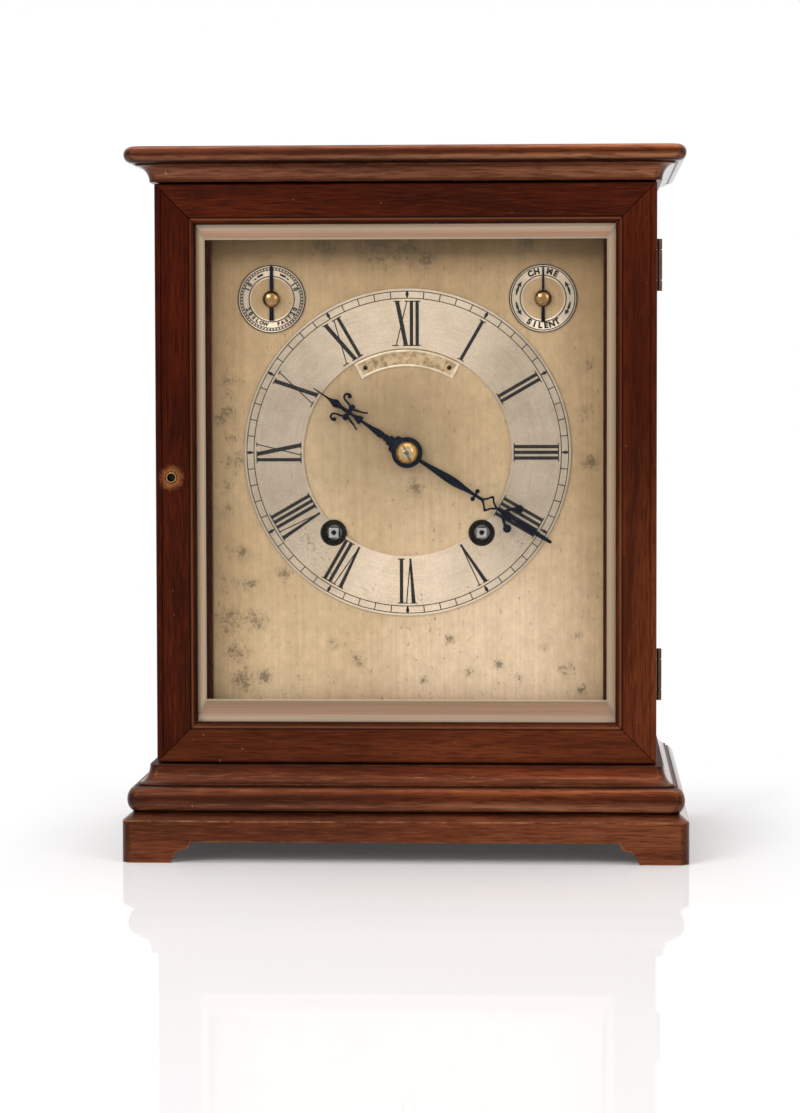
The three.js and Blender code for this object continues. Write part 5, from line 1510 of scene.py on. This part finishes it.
collet_low = corners("minute_hand")[0].y - COLLET_GAP
dome = turned([
    (5.3, 0), (5.4, 0.4), (5.1, 0.9), (4.3, 1.6), (3.4, 2.3), (2.5, 2.9), (1.7, 3.3), (0.9, 3.5),
], (CENTRE_X, collet_low, CENTRE_Z), sides=64)
finish(dome, "brass_collet", "minute_work", [brass], ["hand_collet"], smooth=50)
stub = turned([(1.15, 0), (1.15, 0.8), (0.8, 1.1)], (CENTRE_X, collet_low - STUB_DEPTH, CENTRE_Z), sides=24)
taper = turned([(0.62, -4.2), (0.62, -4.1), (0.36, 3.9), (0.2, 4.0)], (0, 0, 0), "UP", sides=20)
pin_place = at(CENTRE_X, collet_low - PIN_DEPTH, CENTRE_Z)
settle_place(taper, Matrix.Translation(pin_place) @ turn_about("Y", PIN_LEAN))
finish(join([stub, taper]), "hand_taper_pin", "minute_work", [worn_steel], smooth=40)

# Winding squares with a drilled centre painted black as shade, in black cups that are partly a real
# blackened cup and partly painted shade in the winding holes
cup_reach = CUP_DEPTH + ring_height + CUP_PROUD
cup_radius = HOLE_RADIUS - CUP_FIT
cup_profile = [
    (cup_radius, 0), (cup_radius, cup_reach - CUP_ROUND), (HOLE_RADIUS - CUP_LIP, cup_reach),
    (CUP_BORE + CUP_LIP, cup_reach), (CUP_BORE, cup_reach - CUP_LIP), (CUP_BORE, CUP_FLOOR),
    (SQUARE_BORE, CUP_FLOOR), (SQUARE_BORE, 0),
]


def winding_hole(train):
    node = train + "_winding_arbor"
    square = cad_copy(node)
    tip = corners(node)[0].y
    hole = middle(node)
    carve(square, rod(DRILLED, DRILL_DEPTH + CUT_PAST, (hole.x, tip + DRILL_DEPTH, hole.z), 24))

    def in_drilling(face):
        depth = face.center.y / MM - tip
        inside = abs(face.normal.y) < 0.5 or depth > 1
        return int(inside and depth < 4 and off_axis(face.center, hole) < DRILLED)

    # The drilled centre takes the black finish as painted shade inside the drilling.
    part_finishes(square, in_drilling)
    name = train + "_winding_square"
    finish(square, name, train + "_winder", [steel, blackened_and_painted_shade, steel], [node], SQUARE_ARRIS, CRISP)
    # The cup's black is partly its own blackened finish and partly painted shade in the winding hole.
    cup = turned(cup_profile, (hole.x, DIAL_FRONT + CUP_DEPTH, hole.z), sides=64, ring=True)
    finish(cup, train + "_winding_cup", "case", [blackened_and_painted_shade], smooth=CRISP)


winding_hole("going")
winding_hole("strike")

# Butt hinges
for place in ("upper", "lower"):
    for leaf in ("case", "door"):
        name = f"{place}_{leaf}_hinge_leaf"
        dress(f"hinge_{place}_{leaf}_leaf", name, [aged_brass], METAL_ARRIS, CRISP)

# Movement: plain pieces
for node, material in {
    "front_plate": sheet_brass, "going_barrel": brass, "strike_barrel": brass, "strike_fly": brass,
    "pallets": steel, "going_click": steel, "strike_click": steel, "pendulum_rod": steel,
    "cannon_pinion": steel, "strike_hammer": steel, "gong": blued, "gong_block": aged_brass,
    "rear_door_glass": glass_field,
}.items():
    paint(node, material)


# Movement: wheels with crossings
def crossed_wheel(node, spokes, hub, rim):
    """A wheel opened between its hub and rim, given as shares of its radius."""
    low, high = corners(node)
    centre = (low + high) / 2
    radius = (high.x - low.x) / 2
    verts = frame["nodes"][node].data.vertices
    depths = [vert.co.y / MM for vert in verts if off_axis(vert.co, centre) > 0.9 * radius]
    opening = 360 / spokes
    inner_gap = math.degrees(math.asin(SPOKE / 2 / (hub * radius)))
    outer_gap = math.degrees(math.asin(SPOKE / 2 / (rim * radius)))
    outlines = []
    for i in range(spokes):
        start, end = i * opening, (i + 1) * opening
        outline = arc_points(rim * radius, start + outer_gap, end - outer_gap, 12)
        outlines.append(outline + arc_points(hub * radius, end - inner_gap, start + inner_gap, 6))
    thickness = max(depths) - min(depths)
    wheel = cad_copy(node)
    crossings = [(outlines, thickness + 2 * CROSSING_PAST, 0)]
    carve(wheel, cut_sheets(crossings, max(depths) + CROSSING_PAST, centre.x, centre.z))
    finish(wheel, "crossed_" + node, body_of(node), [brass], [node], smooth=CRISP)


crossed_wheel("centre_wheel", 4, 0.34, 0.76)
crossed_wheel("third_wheel", 4, 0.34, 0.74)
crossed_wheel("intermediate_wheel", 5, 0.34, 0.78)
crossed_wheel("escape_wheel", 4, 0.32, 0.62)
crossed_wheel("strike_pin_wheel", 5, 0.32, 0.60)
crossed_wheel("hour_wheel", 5, 0.42, 0.78)
crossed_wheel("minute_wheel", 4, 0.46, 0.74)

# Movement: back plate with oil sinks, screws, cock and a lens bob
plate_low, plate_high = corners("back_plate")
back_plate = cad_copy("back_plate")
sink = [(SINK_RADIUS - SINK_SLOPE, 0), (SINK_RADIUS, SINK_DEPTH), (SINK_RADIUS, SINK_DEPTH + CUT_PAST)]
for node in (
    "centre_wheel", "going_winding_arbor", "strike_winding_arbor", "intermediate_wheel", "third_wheel",
    "escape_wheel", "strike_pin_wheel", "strike_fly",
):
    pivot = middle(node)
    carve(back_plate, turned(sink, (pivot.x, plate_high.y - SINK_DEPTH, pivot.z), "BACK", 32))
finish(back_plate, "sunk_back_plate", "case", [sheet_brass], ["back_plate"], smooth=20)
dress("back_cock", "pallet_cock", [sheet_brass], FINE_ARRIS, CRISP)


def slotted_screws(name, radius, places):
    profile = [(radius, 0), (radius, radius * 0.3), (radius * 0.85, radius * 0.5)]
    head = turned(profile, (0, 0, 0), "BACK", 28)
    carve(head, block(-radius * 1.2, radius * 1.2, radius * 0.25, radius, -radius * 0.13, radius * 0.13))
    heads = []
    for i, place in enumerate(places):
        heads.append(twin(head, Matrix.Translation(at(*place)) @ turn_about("Y", 20 + 47 * i)))
    bpy.data.objects.remove(head)
    finish(join(heads), name, "case", [blued], smooth=CRISP)


cock_high = corners("back_cock")[1]
cock_verts = frame["nodes"]["back_cock"].data.vertices
cock_back = max(vert.co.y for vert in cock_verts if vert.co.x > 0.9 * cock_high.x * MM) / MM
cock_middle = middle("back_cock").z
pillar_places = []
cock_places = []
for side in (-1, 1):
    pillar_places.append((side * (plate_high.x - PILLAR_INSET), plate_high.y, plate_high.z - PILLAR_DROP))
    pillar_places.append((side * PILLAR_INSET, plate_high.y, plate_low.z + PILLAR_DROP))
    cock_places.append((side * (cock_high.x - COCK_SCREW_INSET), cock_back, cock_middle))
slotted_screws("pillar_screws", SCREW, pillar_places)
slotted_screws("cock_screws", COCK_SCREW, cock_places)

bob_low, bob_high = corners("pendulum_bob")
bob_radius = (bob_high.x - bob_low.x) / 2
bob_depth = bob_high.y - bob_low.y
lens = ((0.20, 0.0), (0.60, 0.05), (0.84, 0.16), (0.96, 0.32))
lens = (*lens, (1.0, 0.5), *[(share, 1 - height) for share, height in reversed(lens)])
bob_profile = [(bob_radius * share, bob_depth * height) for share, height in lens]
bob = turned(bob_profile, (0, bob_high.y, bob_high.z - bob_radius), sides=64)
finish(bob, "lens_bob", "pendulum", [brass], ["pendulum_bob"], smooth=40)
dress("rating_nut", "knurled_nut", [brass], METAL_ARRIS, CRISP)

# Camera, light, floor and background
bpy.ops.object.camera_add()
camera = bpy.context.object
camera.data.sensor_width = SENSOR
camera.data.lens = SENSOR * FOCAL
camera.data.clip_start = 0.05
camera.data.clip_end = 50
aim = turn_about("Z", YAW) @ turn_about("X", TILT) @ turn_about("Z", ROLL)
camera.matrix_world = Matrix.Translation(at(*EYE)) @ aim
scene = bpy.context.scene
scene.camera = camera
scene.view_settings.view_transform = "Standard"


def softbox(name, place, target, size, power):
    bpy.ops.object.light_add(type="AREA")
    lamp = bpy.context.object
    lamp.name = name
    lamp.data.shape = "RECTANGLE"
    lamp.data.size, lamp.data.size_y = size
    lamp.data.energy = power
    way = Vector(target) - Vector(place)
    lamp.matrix_world = Matrix.Translation(place) @ way.to_track_quat("-Z", "Y").to_matrix().to_4x4()


softbox("key_softbox", (-1.1, -1.7, 1.35), (0, 0, 0.16), (1.2, 1.0), 24)
softbox("fill_softbox", (1.5, -1.5, 0.9), (0, 0, 0.16), (1.0, 1.2), 10)
softbox("top_softbox", (0, 0.1, 1.9), (0, 0, 0), (1.8, 1.6), 16)

world = bpy.data.worlds.new("white_studio")
scene.world = world
world.use_nodes = True
tree = world.node_tree
path = add_node(tree, "LightPath").outputs
seen = greatest(tree, path["Is Camera Ray"], path["Is Glossy Ray"])
seen = greatest(tree, seen, path["Is Transmission Ray"])
strength = spread(tree, seen, WORLD_LIGHT, 1.0)
fill_sockets(tree, tree.nodes["Background"].inputs, {"Color": WHITE, "Strength": strength})

clear_selection()
bpy.ops.mesh.primitive_plane_add(size=12)
floor = bpy.context.object
floor.name = "pale_floor"
white, tree = start_finish("pale_floor")
tree.nodes.remove(tree.nodes["Principled BSDF"])
matt = add_node(tree, "BsdfDiffuse", {"Color": FLOOR_TONE}).outputs[0]
lift = add_node(tree, "Emission", {"Color": WHITE, "Strength": FLOOR_LIFT}).outputs[0]
matt = add_node(tree, "AddShader", {0: matt, 1: lift}).outputs[0]
gloss = add_node(tree, "BsdfGlossy", {"Color": FLOOR_GLOSS, "Roughness": 0.02}).outputs[0]
sheen = add_node(tree, "MixShader", {0: FLOOR_MIRROR, 1: matt, 2: gloss}).outputs[0]
glow = add_node(tree, "Emission", {"Color": WHITE, "Strength": 1.0}).outputs[0]
places = split(tree, place_on(tree))
far = mask(tree, apart(tree, places[0], 0.0), *FADE_BESIDE)
for fade in (FADE_BEHIND, FADE_BEFORE):
    far = greatest(tree, far, mask(tree, places[1], *fade))
whole = add_node(tree, "MixShader", {0: far, 1: sheen, 2: glow}).outputs[0]
tree.links.new(whole, tree.nodes["Material Output"].inputs["Surface"])
floor.data.materials.append(white)
